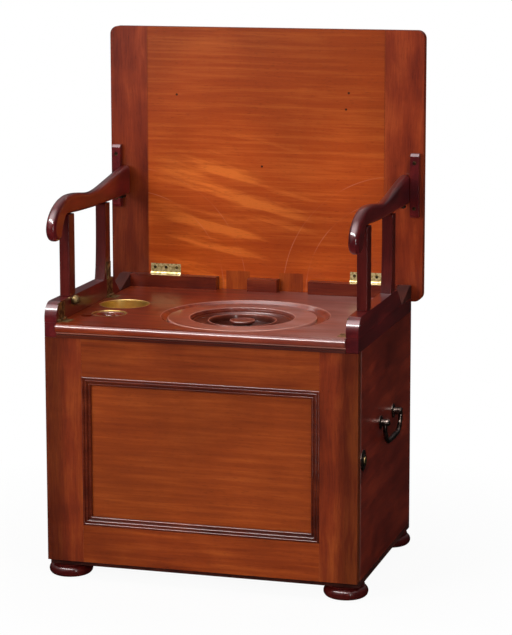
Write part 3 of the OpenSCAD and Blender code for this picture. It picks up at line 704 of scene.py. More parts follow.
@dataclass(frozen=True)
class CaseSideMahogany(FrenchPolishedMahogany):
    """A case side, with a highlight painted along the arris beside the door."""

    front_y: float = -0.1915
    # A pale line painted as a highlight along the arris, 2.4 mm wide
    arris_highlight_mm: float = 2.4
    arris_highlight_colour: str = "#94706a"
    arris_highlight_share: float = 0.7

    def _wear_and_painted_light(self, graph: MaterialGraph, colour: Socket) -> Socket:
        """Paints a highlight along the arris beside the door."""
        # Painted highlight along the arris
        arris_highlight = graph.add(
            "Math", (graph.split[1], self.front_y, self.arris_highlight_mm * MM), operation="COMPARE")[0]
        return graph.paint(colour, self.arris_highlight_colour, arris_highlight, self.arris_highlight_share)


@dataclass(frozen=True)
class PlanedPine(SurfaceFinish):
    """Stained pine inside the case, planed and left without polish, so it looks dull."""

    dark: str = "#6a3c1e"
    light: str = "#94643a"
    ring_mm: float = 4.0
    ring_long_mm: float = 200.0
    roughness: float = 0.7

    def _surface(self, graph: MaterialGraph) -> Socket:
        """Builds the pine, with its rings as lines along X.

        Args:
            graph: The material's nodes.

        Returns:
            The pine's shader.
        """
        rings = graph.drawn_noise(graph.place, self.ring_mm, self.ring_long_mm, detail=4.0)
        tone = graph.add("ValToRGB", (rings,))[0]
        set_stops(tone, (NOISE_LOW, self.dark), (NOISE_HIGH, self.light))
        return graph.add("BsdfPrincipled", {"Base Color": tone, "Roughness": self.roughness})[0]


@dataclass(frozen=True)
class CastBrass(SurfaceFinish):
    """Cast or rolled brass: warm yellow metal, cleaner where it is handled, brown in patches."""

    clean: str
    toned: str
    toned_share: float
    patch_mm: float
    roughness: float
    edge_share: float = 0.12
    toned_rough: float = 0.14

    def _surface(self, graph: MaterialGraph) -> Socket:
        """Builds the brass, with soft patches of tarnish.

        Args:
            graph: The material's nodes.

        Returns:
            The brass's shader.
        """
        patches = graph.add("TexNoise", {
            "Vector": graph.place, "Scale": METRE_MM / self.patch_mm, "Detail": 4.0})[0]
        tone = graph.add("ValToRGB", (patches,))[0]
        set_stops(
            tone, (self.toned_share - self.edge_share, self.toned),
            (self.toned_share + self.edge_share, self.clean))
        rough = graph.add("MapRange", (
            patches, NOISE_LOW, NOISE_HIGH, self.roughness + self.toned_rough, self.roughness,
        ))[0]
        return graph.add("BsdfPrincipled", {
            "Base Color": tone, "Metallic": 1.0, "Roughness": rough})[0]


@dataclass(frozen=True)
class BlackenedIron(SurfaceFinish):
    """Forged iron, blackened in oil: nearly black, with a dull sheen."""

    colour: str = "#2b2724"
    metallic: float = 0.85
    roughness: float = 0.5

    def _surface(self, graph: MaterialGraph) -> Socket:
        """Builds the iron."""
        return graph.add("BsdfPrincipled", {
            "Base Color": linear(self.colour), "Metallic": self.metallic,
            "Roughness": self.roughness,
        })[0]


@dataclass(frozen=True)
class GlazedStoneware(SurfaceFinish):
    """Thrown stoneware under a clear lead glaze: cream, with a wet gloss and faint clouds."""

    light: str = "#e8dfc8"
    shade: str = "#d8caa8"
    cloud_mm: float = 40.0
    roughness: float = 0.12

    def _surface(self, graph: MaterialGraph) -> Socket:
        """Builds the glazed pot.

        Args:
            graph: The material's nodes.

        Returns:
            The glaze's shader.
        """
        clouds = graph.add("TexNoise", {
            "Vector": graph.place, "Scale": METRE_MM / self.cloud_mm, "Detail": 3.0})[0]
        tone = graph.add("ValToRGB", (clouds,))[0]
        set_stops(tone, (NOISE_LOW, self.shade), (NOISE_HIGH, self.light))
        return graph.add("BsdfPrincipled", {"Base Color": tone, "Roughness": self.roughness})[0]


class Finish(Enum):
    """The commode's finishes, with one cut of wood for each place that the eye tells apart."""

    LID_BOARD = FlamedLidMahogany(
        "mahogany_lid_board", "#8e3008", "#a2400b", "#c66220", Grain.ALONG_X,
        band_mm=7, soft=0.4, figure=0.3, figure_mm=170, cloud=0.14, coat=0.35,
        plugs=((-0.17, 0.82), (-0.005, 0.69), (0.16, 0.83), (0.155, 0.8)))
    LID_CLAMP = ClampMahogany(
        "mahogany_lid_clamp", "#621c0b", "#7f2c10", "#983f19", Grain.ALONG_Z, seed=1.3,
        coat=0.35)
    DOOR_PANEL = FrenchPolishedMahogany(
        "mahogany_door_panel", "#6c250a", "#88380e", "#a54e1a", Grain.ALONG_X,
        band_mm=8, soft=0.32, figure_mm=130, seed=2.1)
    DOOR_RAIL = FrenchPolishedMahogany(
        "mahogany_door_rail", "#682309", "#82340e", "#994616", Grain.ALONG_X,
        band_mm=8, soft=0.22, seed=3.4)
    DOOR_STILE = StileMahogany(
        "mahogany_door_stile", "#581b0b", "#752a0f", "#904016", Grain.ALONG_Z, seed=4.7)
    # The deck gets a painted sheen, a painted highlight ring, a painted fillet highlight and painted
    # shade
    DECK = DeckMahogany(
        "mahogany_deck", "#5c180b", "#7a2a12", "#963c1c", Grain.ALONG_X, band_mm=14, seed=5.2,
        coat=0.9, coat_rough=0.11, painted_sheen=1.3, flat_z=0.4568, dip_mm=2.5,
        highlight_ring_at=(0.037, -0.05165, 0.0), ring_mm=(149.6,), highlight_ring_share=0.4)
    DECK_RAIL = FrenchPolishedMahogany(
        "mahogany_deck_rail", "#4c140a", "#65200e", "#7d3116", Grain.ALONG_X, band_mm=12,
        seed=5.4)
    # The cover gets a painted sheen, painted highlight rings and painted shade in its hollows
    COVER = TurnedMahogany(
        "mahogany_cover", "#5a190d", "#742814", "#8e3a20", Grain.ALONG_X, band_mm=16, seed=5.9,
        coat=0.9, coat_rough=0.09, painted_sheen=2.1, painted_sheen_from=-0.1, painted_sheen_to=0.17,
        ring_mm=(21.2, 60.0, 93.6, 131.2), highlight_ring_share=0.75)
    LID_PATCH = FrenchPolishedMahogany(
        "mahogany_patch", "#84300b", "#9c4010", "#b45418", Grain.ALONG_Z, seed=6.6)
    CASE_SIDE = CaseSideMahogany(
        "mahogany_case_side", "#4e120c", "#681e13", "#822c19", Grain.ALONG_Y, seed=6.1)
    # A dark, dull copy of the mahogany that paints shade on the base board and the rear corner
    # wedges
    IN_CORNERS = FrenchPolishedMahogany(
        "mahogany_in_corners", "#2c0c08", "#3c140c", "#4c1c10", Grain.ALONG_Z, seed=6.9,
        roughness=0.7, coat=0.0)
    ARM = FrenchPolishedMahogany(
        "mahogany_arm", "#3e0a10", "#540f13", "#6c1b1a", Grain.ALONG_Y, seed=7.5,
        coat=0.85, coat_rough=0.07)
    POST = FrenchPolishedMahogany(
        "mahogany_post", "#34090a", "#460e0c", "#5a1812", Grain.ALONG_Z, seed=8.2,
        coat=0.3, coat_rough=0.1)
    MOULDING = FrenchPolishedMahogany(
        "mahogany_moulding", "#3c1007", "#541a0a", "#702c14", Grain.ALONG_X, seed=9.6,
        coat=0.8, coat_rough=0.1)
    PINE = PlanedPine("stained_pine")
    POLISHED_BRASS = CastBrass("polished_brass", "#dacb98", "#94804e", 0.5, 5, 0.4)
    AGED_BRASS = CastBrass("aged_brass", "#7c6640", "#2a2018", 0.58, 14, 0.32)
    DULL_BRASS = CastBrass("dull_brass", "#a08c60", "#4a3c26", 0.52, 8, 0.42)
    BRONZED_BRASS = CastBrass("bronzed_brass", "#7c7068", "#241c18", 0.5, 10, 0.24)
    SPUN_BRASS = CastBrass("spun_brass", "#e6d08c", "#c8a864", 0.5, 40, 0.26)
    IRON = BlackenedIron("blackened_iron")
    STONEWARE = GlazedStoneware("glazed_stoneware")


class Workshop:
    """Makes and dresses pieces on the CAD frame."""

    # What counts as one point, as one plane and as a sharp edge where copies are rounded
    weld_mm: float = 0.01
    flat_degrees: float = 0.5
    sharp_degrees: float = 32.0
    # Edges that stay sharp in the shading turn by more than this
    dressed_crease: float = 30.0
    softened_crease: float = 28.0
    made_crease: float = 35.0
    # The strongest pull that large faces can have on the shading
    flat_weight: int = 100

    def __init__(self, frame: dict) -> None:
        """Reads from the frame which body carries each node and which slot it has.

        Args:
            frame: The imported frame.
        """
        record = frame["record"]
        self.nodes = frame["nodes"]
        self.node_body = {
            node: body for body, nodes in record["behaviour"]["bodies"].items() for node in nodes
        }
        self.node_slot = {part["node"]: part["material_slot"] for part in record["subparts"]}
        self.materials: dict[Finish, bpy.types.Material] = {}

    def _finish(self, piece: bpy.types.Object, finish: Finish, crease: float) -> None:
        """Gives a piece its material, made once, and smooths all but its flats and creases.

        Args:
            piece: The piece.
            finish: Its finish.
            crease: Edges that turn by more than this angle stay sharp, in degrees.
        """
        if finish not in self.materials:
            self.materials[finish] = finish.value.material()
        piece.data.materials.clear()
        piece.data.materials.append(self.materials[finish])
        piece.data.shade_smooth()
        piece.data.set_sharp_from_angle(angle=math.radians(crease))
        flats = piece.modifiers.new("flat_normals", "WEIGHTED_NORMAL")
        flats.weight = self.flat_weight
        flats.keep_sharp = True

    def dress(self, finish: Finish, *nodes: str) -> None:
        """Gives CAD nodes a finish and keeps their shapes.

        Args:
            finish: The finish.
            nodes: The nodes.
        """
        for node in nodes:
            self._finish(self.nodes[node], finish, self.dressed_crease)
            log.info("dressed %s", node)

    def add_piece(
        self, name: str, work: bmesh.types.BMesh, finish: Finish, body: str,
        crease: float = made_crease,
    ) -> bpy.types.Object:
        """Puts finished work into the scene as a piece on a body.

        Args:
            name: The piece's name.
            work: Its form, with vertices in the row frame.
            finish: Its finish.
            body: The CAD body that it rides on.
            crease: Edges that turn by more than this angle stay sharp, in degrees.

        Returns:
            The piece.
        """
        piece = bpy.data.objects.new(name, as_mesh(work, name))
        bpy.context.scene.collection.objects.link(piece)
        self._finish(piece, finish, crease)
        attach(piece, body)
        log.info("made %s on %s", name, body)
        return piece

    def stand_in(
        self, name: str, work: bmesh.types.BMesh, finish: Finish, node: str,
        crease: float = made_crease,
    ) -> None:
        """Puts finished work into the scene in place of a CAD node, on the node's body.

        Args:
            name: The piece's name.
            work: Its form, with vertices in the row frame.
            finish: Its finish.
            node: The CAD node that it replaces.
            crease: Edges that turn by more than this angle stay sharp, in degrees.
        """
        piece = self.add_piece(name, work, finish, self.node_body[node], crease)
        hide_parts(node)

    def soften(self, finish: Finish, edge_mm: float, *nodes: str, steps: int = 2) -> None:
        """Replaces CAD nodes by copies whose sharp edges are rounded.

        Args:
            finish: The copies' finish.
            edge_mm: Radius of the rounded edges.
            nodes: The CAD nodes.
            steps: Facets across each rounded edge.
        """
        for node in nodes:
            work = bmesh.new()
            work.from_mesh(self.nodes[node].data)
            bmesh.ops.remove_doubles(work, verts=work.verts, dist=self.weld_mm * MM)
            bmesh.ops.dissolve_limit(
                work, angle_limit=math.radians(self.flat_degrees), verts=work.verts,
                edges=work.edges)
            sharp = [
                edge for edge in work.edges if len(edge.link_faces) == 2
                and edge.calc_face_angle(0.0) > math.radians(self.sharp_degrees)
            ]
            bmesh.ops.bevel(
                work, geom=sharp, offset=edge_mm * MM, offset_type="OFFSET", segments=steps,
                profile=0.5, affect="EDGES", clamp_overlap=True)
            self.stand_in(node + "_softened", work, finish, node, self.softened_crease)

    def turned(
        self, name: str, node: str, profile: Points, finish: Finish, segments: int,
    ) -> None:
        """Turns a profile about a CAD node's upright middle line, in the node's place.

        Args:
            name: The piece's name.
            node: The CAD node that it replaces.
            profile: Radius and height above the node's underside of each point.
            finish: Its finish.
            segments: Facets round the piece.
        """
        low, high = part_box(node)
        bench = Turnery()
        bench.turn(
            profile, Vector(((low.x + high.x) / 2, (low.y + high.y) / 2, low.z)), UP, segments)
        self.stand_in(name, bench.finished(), finish, node)


class Turnery:
    """Collects turned, swept and run forms as one work."""

    # A screw head's underside and edge below the surface, and how it narrows from its radius
    head_deep_mm: float = 0.35
    head_edge_mm: float = 0.1
    neck_share: float = 0.97
    bulge_share: float = 0.985
    bulge_rise: float = 0.6
    crown_share: float = 0.93
    head_steps: int = 12

    def __init__(self) -> None:
        """Starts with no form."""
        self.work = bmesh.new()

    def turn(self, profile: Points, centre: Vector, axis: Vector, segments: int) -> None:
        """Turns a profile about an axis.

        Args:
            profile: Radius and height along the axis of each point, in millimetres. A closed
                form starts and ends at radius 0.
            centre: The point of the axis at height 0, in metres.
            axis: The axis' direction.
            segments: Facets round the axis.
        """
        aim = axis.normalized().to_track_quat("Z", "Y").to_matrix()
        rings = [
            [
                self.work.verts.new(centre + aim @ Vector((
                    radius * math.cos(math.tau * i / segments),
                    radius * math.sin(math.tau * i / segments),
                    height,
                )) * MM)
                for i in range(segments if radius else 1)
            ]
            for radius, height in profile
        ]
        for low, high in zip(rings, rings[1:]):
            self._bridge(low, high, segments)

    def _bridge(
        self, low: list[bmesh.types.BMVert], high: list[bmesh.types.BMVert], segments: int,
    ) -> None:
        """Joins two rings, either of which may be a single point.

        Args:
            low: The lower ring.
            high: The upper ring.
            segments: Facets round the ring.
        """
        for i in range(segments):
            j = (i + 1) % segments
            if len(low) == 1 and len(high) > 1:
                self.work.faces.new((low[0], high[j], high[i]))
            elif len(high) == 1 and len(low) > 1:
                self.work.faces.new((low[i], low[j], high[0]))
            elif len(low) > 1:
                self.work.faces.new((low[i], low[j], high[j], high[i]))

    def rod(self, path: Sequence[Vector], radii: Sequence[float], sides: int = 20) -> None:
        """Draws a round rod along a path that lies in a plane of constant X.

        Args:
            path: The rod's middle line, in metres.
            radii: The rod's radius at each point, in millimetres.
            sides: Facets round the rod.
        """
        across = Vector((1.0, 0.0, 0.0))
        rings = []
        for i, (place, radius) in enumerate(zip(path, radii)):
            along = (path[min(i + 1, len(path) - 1)] - path[max(i - 1, 0)]).normalized()
            other = along.cross(across).normalized()
            rings.append([
                self.work.verts.new(place + radius * MM * (
                    across * math.cos(math.tau * k / sides) + other * math.sin(math.tau * k / sides)
                ))
                for k in range(sides)
            ])
        for low, high in zip(rings, rings[1:]):
            self._bridge(low, high, sides)
        for end in (rings[0], rings[-1]):
            self.work.faces.new(end)

    def run_round(self, section: Points, low: Vector, high: Vector) -> None:
        """Runs a moulding round a rectangle that faces -Y, with mitred corners.

        Args:
            section: How far in from the rectangle's edge, and how far forward of the back,
                each point of the moulding lies, in millimetres.
            low: The moulding's low corner, in metres.
            high: Its high corner, whose Y is the back.
        """
        loops = []
        for inward, out in section:
            d = inward * MM
            loops.append([
                self.work.verts.new((x, high.y - out * MM, z))
                for x, z in ((low.x + d, low.z + d), (high.x - d, low.z + d),
                             (high.x - d, high.z - d), (low.x + d, high.z - d))
            ])
        for first, second in zip(loops, loops[1:] + loops[:1]):
            self._bridge(first, second, 4)

    def screw_head(self, place: Vector, face: Vector, screw: Screw, turn: float) -> None:
        """Adds a countersunk wood screw's head with its slot.

        Args:
            place: The middle of the head, on the surface, in metres.
            face: The direction that the head faces.
            screw: The head's sizes.
            turn: The slot's turn in degrees.
        """
        aim = face.normalized().to_track_quat("Z", "Y").to_matrix()
        deep, edge = -self.head_deep_mm, -self.head_edge_mm
        self.turn([(0.0, deep), (screw.radius * self.neck_share, deep), (screw.radius, edge)],
                  place, face, segments=2 * self.head_steps)
        reach = math.degrees(math.acos(screw.slot / 2 / screw.radius))
        for middle in (turn, turn + 180.0):
            rims = [
                [
                    self.work.verts.new(place + aim @ Vector((x, y, height)) * MM)
                    for x, y in arc((0.0, 0.0), screw.radius * share, middle - reach,
                                    middle + reach, self.head_steps)
                ]
                for share, height in ((1.0, edge), (self.bulge_share, screw.proud * self.bulge_rise),
                                      (self.crown_share, screw.proud))
            ]
            for first, second in zip(rims, rims[1:]):
                self._bridge(first, second, len(first))
            self.work.faces.new(rims[-1])

    def finished(self) -> bmesh.types.BMesh:
        """Turns every face outward and gives the work."""
        bmesh.ops.recalc_face_normals(self.work, faces=self.work.faces)
        return self.work


class Lamp(NamedTuple):
    """A soft box or a card: its place and size in metres, its power in watts and its use."""

    name: str
    place: tuple[float, float, float]
    size: tuple[float, float]
    power: float
    glow: Glow


@dataclass
class Studio:
    """The camera, the lamps, the floor and the white background."""

    # The camera's place in metres and its turns in degrees, fitted to the photograph's edges
    place: tuple[float, float, float] = (1.1824, -3.95745, 1.2133)
    yaw: float = 16.382
    pitch: float = -9.069
    roll: float = 0.122
    focal_px: float = 2348.5
    slide_px: tuple[float, float] = (-12.0, -62.0)
    aim: tuple[float, float, float] = (0.0, 0.0, 0.45)
    lamps: tuple[Lamp, ...] = (
        Lamp("key_box", (-1.6, -2.8, 1.55), (1.2, 1.0), 46.0, Glow.LIGHT),
        Lamp("fill_box", (2.2, -2.6, 1.4), (0.9, 0.9), 15.0, Glow.LIGHT),
        Lamp("strip_box", (0.0, -1.1, 2.7), (2.6, 0.5), 14.0, Glow.LIGHT),
        Lamp("key_card", (-1.6, -2.8, 1.55), (1.2, 1.0), 34.0, Glow.HIGHLIGHT),
        Lamp("front_card", (-0.6, -1.5, 2.3), (3.2, 0.28), 125.0, Glow.HIGHLIGHT),
        Lamp("side_card", (1.9, -2.3, 0.7), (0.2, 1.8), 22.0, Glow.HIGHLIGHT),
    )
    room_level: float = 0.4
    mirror_tint: str = "#fff6f8"
    # What mirror rays meet, by the ray's height, by its way forward and by its way right
    walls: Fade = Fade(0.12, 0.6, 0.02, 0.5)
    ceiling: Fade = Fade(0.55, 0.85, 0.0, 7.0)
    ahead: Fade = Fade(0.3, -0.2, 0.06, 1.0)
    rightward: Fade = Fade(-0.2, 0.7, 1.0, 0.25)
    floor_reach: float = 9.0
    floor_colour: str = "#f4f3f1"
    floor_mirrored: str = "#2c2724"
    whitening: Fade = Fade(0.35, 0.85, 0.94, 1.0)

    def build(self) -> None:
        """Sets up the view, the background, the floor and the lamps."""
        bpy.context.scene.view_settings.view_transform = "Standard"
        self._camera()
        self._background()
        self._floor()
        for lamp in self.lamps:
            self._hang(lamp)

    def _camera(self) -> None:
        """Sets up the camera at the photograph's viewpoint."""
        data = bpy.data.cameras.new("photo_view")
        data.sensor_width = SENSOR_MM
        data.lens = self.focal_px * SENSOR_MM / PHOTO_HIGH_PX
        data.shift_x = -self.slide_px[0] / PHOTO_HIGH_PX
        data.shift_y = self.slide_px[1] / PHOTO_HIGH_PX
        eye = bpy.data.objects.new("photo_view", data)
        eye.location = self.place
        eye.rotation_euler = (
            Matrix.Rotation(math.radians(self.yaw), 3, "Z")
            @ Matrix.Rotation(math.radians(90 + self.pitch), 3, "X")
            @ Matrix.Rotation(math.radians(-self.roll), 3, "Z")
        ).to_euler()
        bpy.context.scene.collection.objects.link(eye)
        bpy.context.scene.camera = eye

    def _hang(self, lamp: Lamp) -> None:
        """Hangs one lamp so that it faces the commode.

        Args:
            lamp: The lamp.
        """
        data = bpy.data.lights.new(lamp.name, "AREA")
        data.shape = "RECTANGLE"
        data.size, data.size_y = lamp.size
        data.energy = lamp.power
        hung = bpy.data.objects.new(lamp.name, data)
        hung.location = lamp.place
        way = Vector(self.aim) - Vector(lamp.place)
        hung.rotation_euler = way.to_track_quat("-Z", "Y").to_euler()
        hung.visible_diffuse = lamp.glow is Glow.LIGHT
        hung.visible_glossy = lamp.glow is Glow.HIGHLIGHT
        bpy.context.scene.collection.objects.link(hung)

    def _background(self) -> None:
        """White for the camera, and for mirror rays a dark room with a bright front ceiling."""
        world = bpy.data.worlds.new("white_studio")
        bpy.context.scene.world = world
        graph = Graph(world)
        ray = graph.add("LightPath")
        right, back, up = graph.add("SeparateXYZ", (graph.add("TexCoord")["Generated"],))
        walls = graph.add("MapRange", (up, *self.walls))[0]
        ceiling = graph.add("MapRange", (up, *self.ceiling))[0]
        ahead = graph.add("MapRange", (back, *self.ahead))[0]
        above = graph.add("Math", (ceiling, ahead, walls), operation="MULTIPLY_ADD")[0]
        rightward = graph.add("MapRange", (right, *self.rightward))[0]
        level = graph.add("Math", (above, rightward), operation="MULTIPLY")[0]
        soft = graph.add("Background", (WHITE, self.room_level))[0]
        mirrored = graph.add("Background", (linear(self.mirror_tint), level))[0]
        white = graph.add("Background", (WHITE, 1.0))[0]
        room = graph.add("MixShader", (ray["Is Glossy Ray"], soft, mirrored))[0]
        seen = graph.add("MixShader", (ray["Is Camera Ray"], room, white))[0]
        graph.add("OutputWorld", (seen,))

    def _floor(self) -> None:
        """Lays pale paper that keeps the near shadow and turns to plain white further out."""
        work = bmesh.new()
        bmesh.ops.create_grid(work, x_segments=1, y_segments=1, size=self.floor_reach)
        ground = bpy.data.objects.new("studio_floor", as_mesh(work, "studio_floor"))
        bpy.context.scene.collection.objects.link(ground)
        graph = MaterialGraph("studio_paper")
        ray = graph.add("LightPath")
        far = graph.add("VectorMath", (graph.place,), operation="LENGTH")["Value"]
        whiter = graph.add("MapRange", (far, *self.whitening))[0]
        tone = graph.add("Mix", {
            "Factor": ray["Is Glossy Ray"], 6: linear(self.floor_colour),
            7: linear(self.floor_mirrored),
        }, data_type="RGBA")[2]
        paper = graph.add("BsdfDiffuse", (tone,))[0]
        white = graph.add("Emission", (WHITE, 1.0))[0]
        share = graph.add("Math", (ray["Is Camera Ray"], whiter), operation="MULTIPLY")[0]
        mixed = graph.add("MixShader", (share, paper, white))[0]
        graph.add("OutputMaterial", (mixed,))
        ground.data.materials.append(graph.material)


@dataclass
class Carcase:
    """Side boards, back, bottom, feet and what is inside."""

    shop: Workshop
    side_edge_mm: float = 1.2
    base_edge_mm: float = 0.8
    foot_r: float = 39.0
    foot_mm: float = 22.0
    belly_r: float = 9.8

    def build(self) -> None:
        """Dresses the boards of the case and turns its feet."""
        self.shop.soften(
            Finish.CASE_SIDE, self.side_edge_mm, *(side.of("side_board") for side in Side))
        # The base board gets the dark painted-shade mahogany
        self.shop.soften(Finish.IN_CORNERS, self.base_edge_mm, "base_board")
        self.shop.dress(Finish.PINE, "back_panel", "shelf_bearers", "pan_shelf")
        self.shop.dress(Finish.CASE_SIDE, "foot_dowels")
        self.shop.dress(Finish.STONEWARE, "pan")
        self._feet()

    def _feet(self) -> None:
        """Turns four bun feet, each with a thin disc above its bun."""
        low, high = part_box("bun_feet")
        r, top = self.foot_r, self.foot_mm
        profile = [(0.0, 0.0), (r - 9.0, 0.0), (r - 8.2, 0.25),
                   *arc((r - 10.0, 9.9), self.belly_r, -80, 76, 16),
                   (r - 8.6, top - 2.0), (r - 6.6, top - 1.9), (r - 6.2, top), (0.0, top)]
        bench = Turnery()
        for x in (low.x + r * MM, high.x - r * MM):
            for y in (low.y + r * MM, high.y - r * MM):
                bench.turn(profile, Vector((x, y, low.z)), UP, segments=72)
        self.shop.stand_in("turned_bun_feet", bench.finished(), Finish.POST, "bun_feet")


@dataclass
class Deck:
    """Seat deck with its clamps, back rail, wells and turned cover."""

    shop: Workshop
    edge_mm: float = 0.8
    rim_mm: float = 8.0
    cover_r: float = 132.0
    plug_r: float = 120.0
    step_r: float = 92.0
    bead_r: float = 60.0
    bead_mm: float = 1.6
    knob_r: float = 23.0
    knob_down_mm: float = 5.0
    ledge_mm: float = 9.5
    hollow_mm: float = 17.5
    rear_lip_r: float = 46.8
    front_lip_r: float = 32.3
    lip_mm: float = 3.3
    cup_floor_mm: float = 1.5

    def build(self) -> None:
        """Dresses the deck and turns its loose pieces."""
        self.shop.dress(Finish.DECK, "deck_board")
        self.shop.soften(Finish.ARM, self.edge_mm, *(side.of("deck_clamp") for side in Side))
        # The rear corner wedges get the dark painted-shade mahogany
        self.shop.soften(Finish.IN_CORNERS, self.edge_mm, "rear_corner_wedges")
        self.shop.soften(Finish.DECK_RAIL, self.edge_mm, "back_rail_blocks")
        self._cover()
        self._cap()
        self._cup("rear_well_cup", self.rear_lip_r)
        self._cup("front_well_cup", self.front_lip_r, cap_seat=True)

    def _cover(self) -> None:
        """Turns the seat cover: a flat rim, a stepped ring, a bead and a dished knob."""
        top = height_mm("seat_cover")
        floor = top - self.hollow_mm
        ledge = top - self.ledge_mm
        bead = ledge + self.bead_mm
        knob = top - self.knob_down_mm
        outer = [(0.0, 0.0), (self.plug_r, 0.0), (self.plug_r, top - self.rim_mm),
                 (self.cover_r, top - self.rim_mm),
                 *arc((self.cover_r - 1.8, top - 1.8), 1.8, 0, 90, 6)]
        step = [*arc((self.step_r + 1.4, top - 1.4), 1.4, 90, 180, 5),
                (self.step_r - 0.2, top - 4.2), (self.step_r - 1.6, top - 4.6),
                (self.step_r - 1.8, ledge + 1.4),
                *arc((self.step_r - 4.0, ledge + 0.6), 1.8, 20, 170, 8),
                (self.step_r - 7.0, ledge - 0.4)]
        ring = [(self.bead_r + 5.5, ledge - 1.2), (self.bead_r + 2.9, bead - 1.0),
                *arc((self.bead_r, bead), 2.6, -10, 190, 12), (self.bead_r - 4.2, floor + 1.4),
                *arc((self.bead_r - 7.0, floor + 1.6), 1.6, 0, -80, 4)]
        pull = [(self.knob_r - 6, floor), *arc((self.knob_r - 4.4, floor + 2.6), 2.4, 200, 120, 5),
                *arc((self.knob_r - 2.6, knob - 2.7), 2.6, -60, 110, 12),
                (self.knob_r - 6.6, knob - 1.9), (self.knob_r - 9.5, knob - 2.6),
                (0.0, knob - 2.3)]
        self.shop.turned("turned_seat_cover", "seat_cover", outer + step + ring + pull,
                         Finish.COVER, segments=160)

    def _cap(self) -> None:
        """Turns the wooden cap of the front well, with its bead and knob."""
        low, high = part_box("well_cap")
        r = (high.x - low.x) / 2 / MM
        top = height_mm("well_cap")
        profile = [(0.0, 0.0), (r, 0.0), (r, top - 3.6),
                   *arc((r - 2.6, top - 3.9), 2.4, 10, 165, 8), (r - 6.2, top - 6.0),
                   (r - 8.5, top - 7.2), (8.4, top - 7.0), (6.6, top - 4.6),
                   *arc((8.2, top - 3.1), 2.6, -70, 75, 8), (5.0, top - 0.1), (0.0, top)]
        self.shop.turned("turned_well_cap", "well_cap", profile, Finish.COVER, segments=72)

    def _cup(self, node: str, lip: float, cap_seat: bool = False) -> None:
        """Spins a brass cup with a rolled lip.

        Args:
            node: The cup's CAD node.
            lip: Radius of its lip in millimetres.
            cap_seat: True for the cup that has a ledge for the cap inside.
        """
        top = height_mm(node)
        inner = lip - self.lip_mm
        seat = [(inner, top - 12), (inner - 2.5, top - 12), (inner - 2.5, top - 15),
                (inner, top - 15)]
        profile = [(0.0, 0.0), (lip - 1.8, 0.0), (lip - 1.8, top - 1.4), (lip, top - 1.4),
                   *arc((lip - 0.8, top - 0.8), 0.8, 0, 90, 4),
                   *arc((inner + 0.9, top - 0.9), 0.9, 90, 180, 4), *(seat if cap_seat else ()),
                   *arc((inner - 4, self.cup_floor_mm + 4), 4, 0, -90, 6),
                   (0.0, self.cup_floor_mm)]
        self.shop.turned("spun_" + node, node, profile, Finish.SPUN_BRASS, segments=96)


@dataclass
class Door:
    """Panelled door with its moulding and hinges."""

    shop: Workshop
    stile_edge_mm: float = 0.8
    rail_edge_mm: float = 0.4
    moulding_mm: float = 15.5
    leaf_long_mm: float = 64.0
    screw: Screw = Screw(2.9, 0.8, 0.2)
    screw_gap_mm: float = 22.0
    door_screw_mm: float = 8.0
    case_screw_mm: float = 13.0
    screw_turns: tuple[float, ...] = (20.0, 75.0, 130.0)

    def build(self) -> None:
        """Dresses the door, runs its moulding and sets its hinges' screws."""
        self.shop.soften(Finish.DOOR_STILE, self.stile_edge_mm, "door_stiles")
        self.shop.soften(Finish.DOOR_RAIL, self.rail_edge_mm, "door_rails")
        self.shop.dress(Finish.DOOR_PANEL, "door_panel")
        self.shop.dress(
            Finish.POLISHED_BRASS, "door_hinge_leaves", "case_hinge_leaves", "door_hinge_pins",
            "door_keeper", "catch_spring")
        self._moulding()
        low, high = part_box("door_hinge_leaves")
        self._leaf_screws("door", low.y + self.door_screw_mm * MM)
        self._leaf_screws("case", high.y + self.case_screw_mm * MM)

    def _moulding(self) -> None:
        """Runs the bolection round the panel: two beads with a hollow between them."""
        low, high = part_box("panel_moulding")
        wide = self.moulding_mm
        out = (high.y - low.y) / MM
        section = [(0.0, 0.0), (0.0, out - 2.2), *reversed(arc((2.1, out - 2.1), 2.1, 20, 180, 8)),
                   (4.6, out - 2.6), *reversed(arc((7.0, out - 3.9), 2.5, 30, 150, 6)),
                   (9.8, out - 5.0), (11.3, out - 5.4),
                   *reversed(arc((wide - 2.2, 2.9), 1.9, 0, 160, 7)), (wide, 0.0)]
        bench = Turnery()
        bench.run_round(section, low, high)
        self.shop.stand_in(
            "run_panel_moulding", bench.finished(), Finish.MOULDING, "panel_moulding", crease=40)

    def _leaf_screws(self, body: str, y: float) -> None:
        """Sets three slotted screws in each hinge leaf of one body, on the case's left side.

        Args:
            body: The body whose leaves get them.
            y: Where the screws' row stands, in metres.
        """
        low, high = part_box("door_hinge_leaves")
        face_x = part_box("left_side_board")[0].x
        half = self.leaf_long_mm / 2 * MM
        bench = Turnery()
        for middle in (low.z + half, high.z - half):
            for step, turn in zip((-1, 0, 1), self.screw_turns):
                place = Vector((face_x, y, middle + step * self.screw_gap_mm * MM))
                bench.screw_head(place, Vector((-1, 0, 0)), self.screw, turn)
        self.shop.add_piece(body + "_hinge_screws", bench.finished(), Finish.POLISHED_BRASS, body)


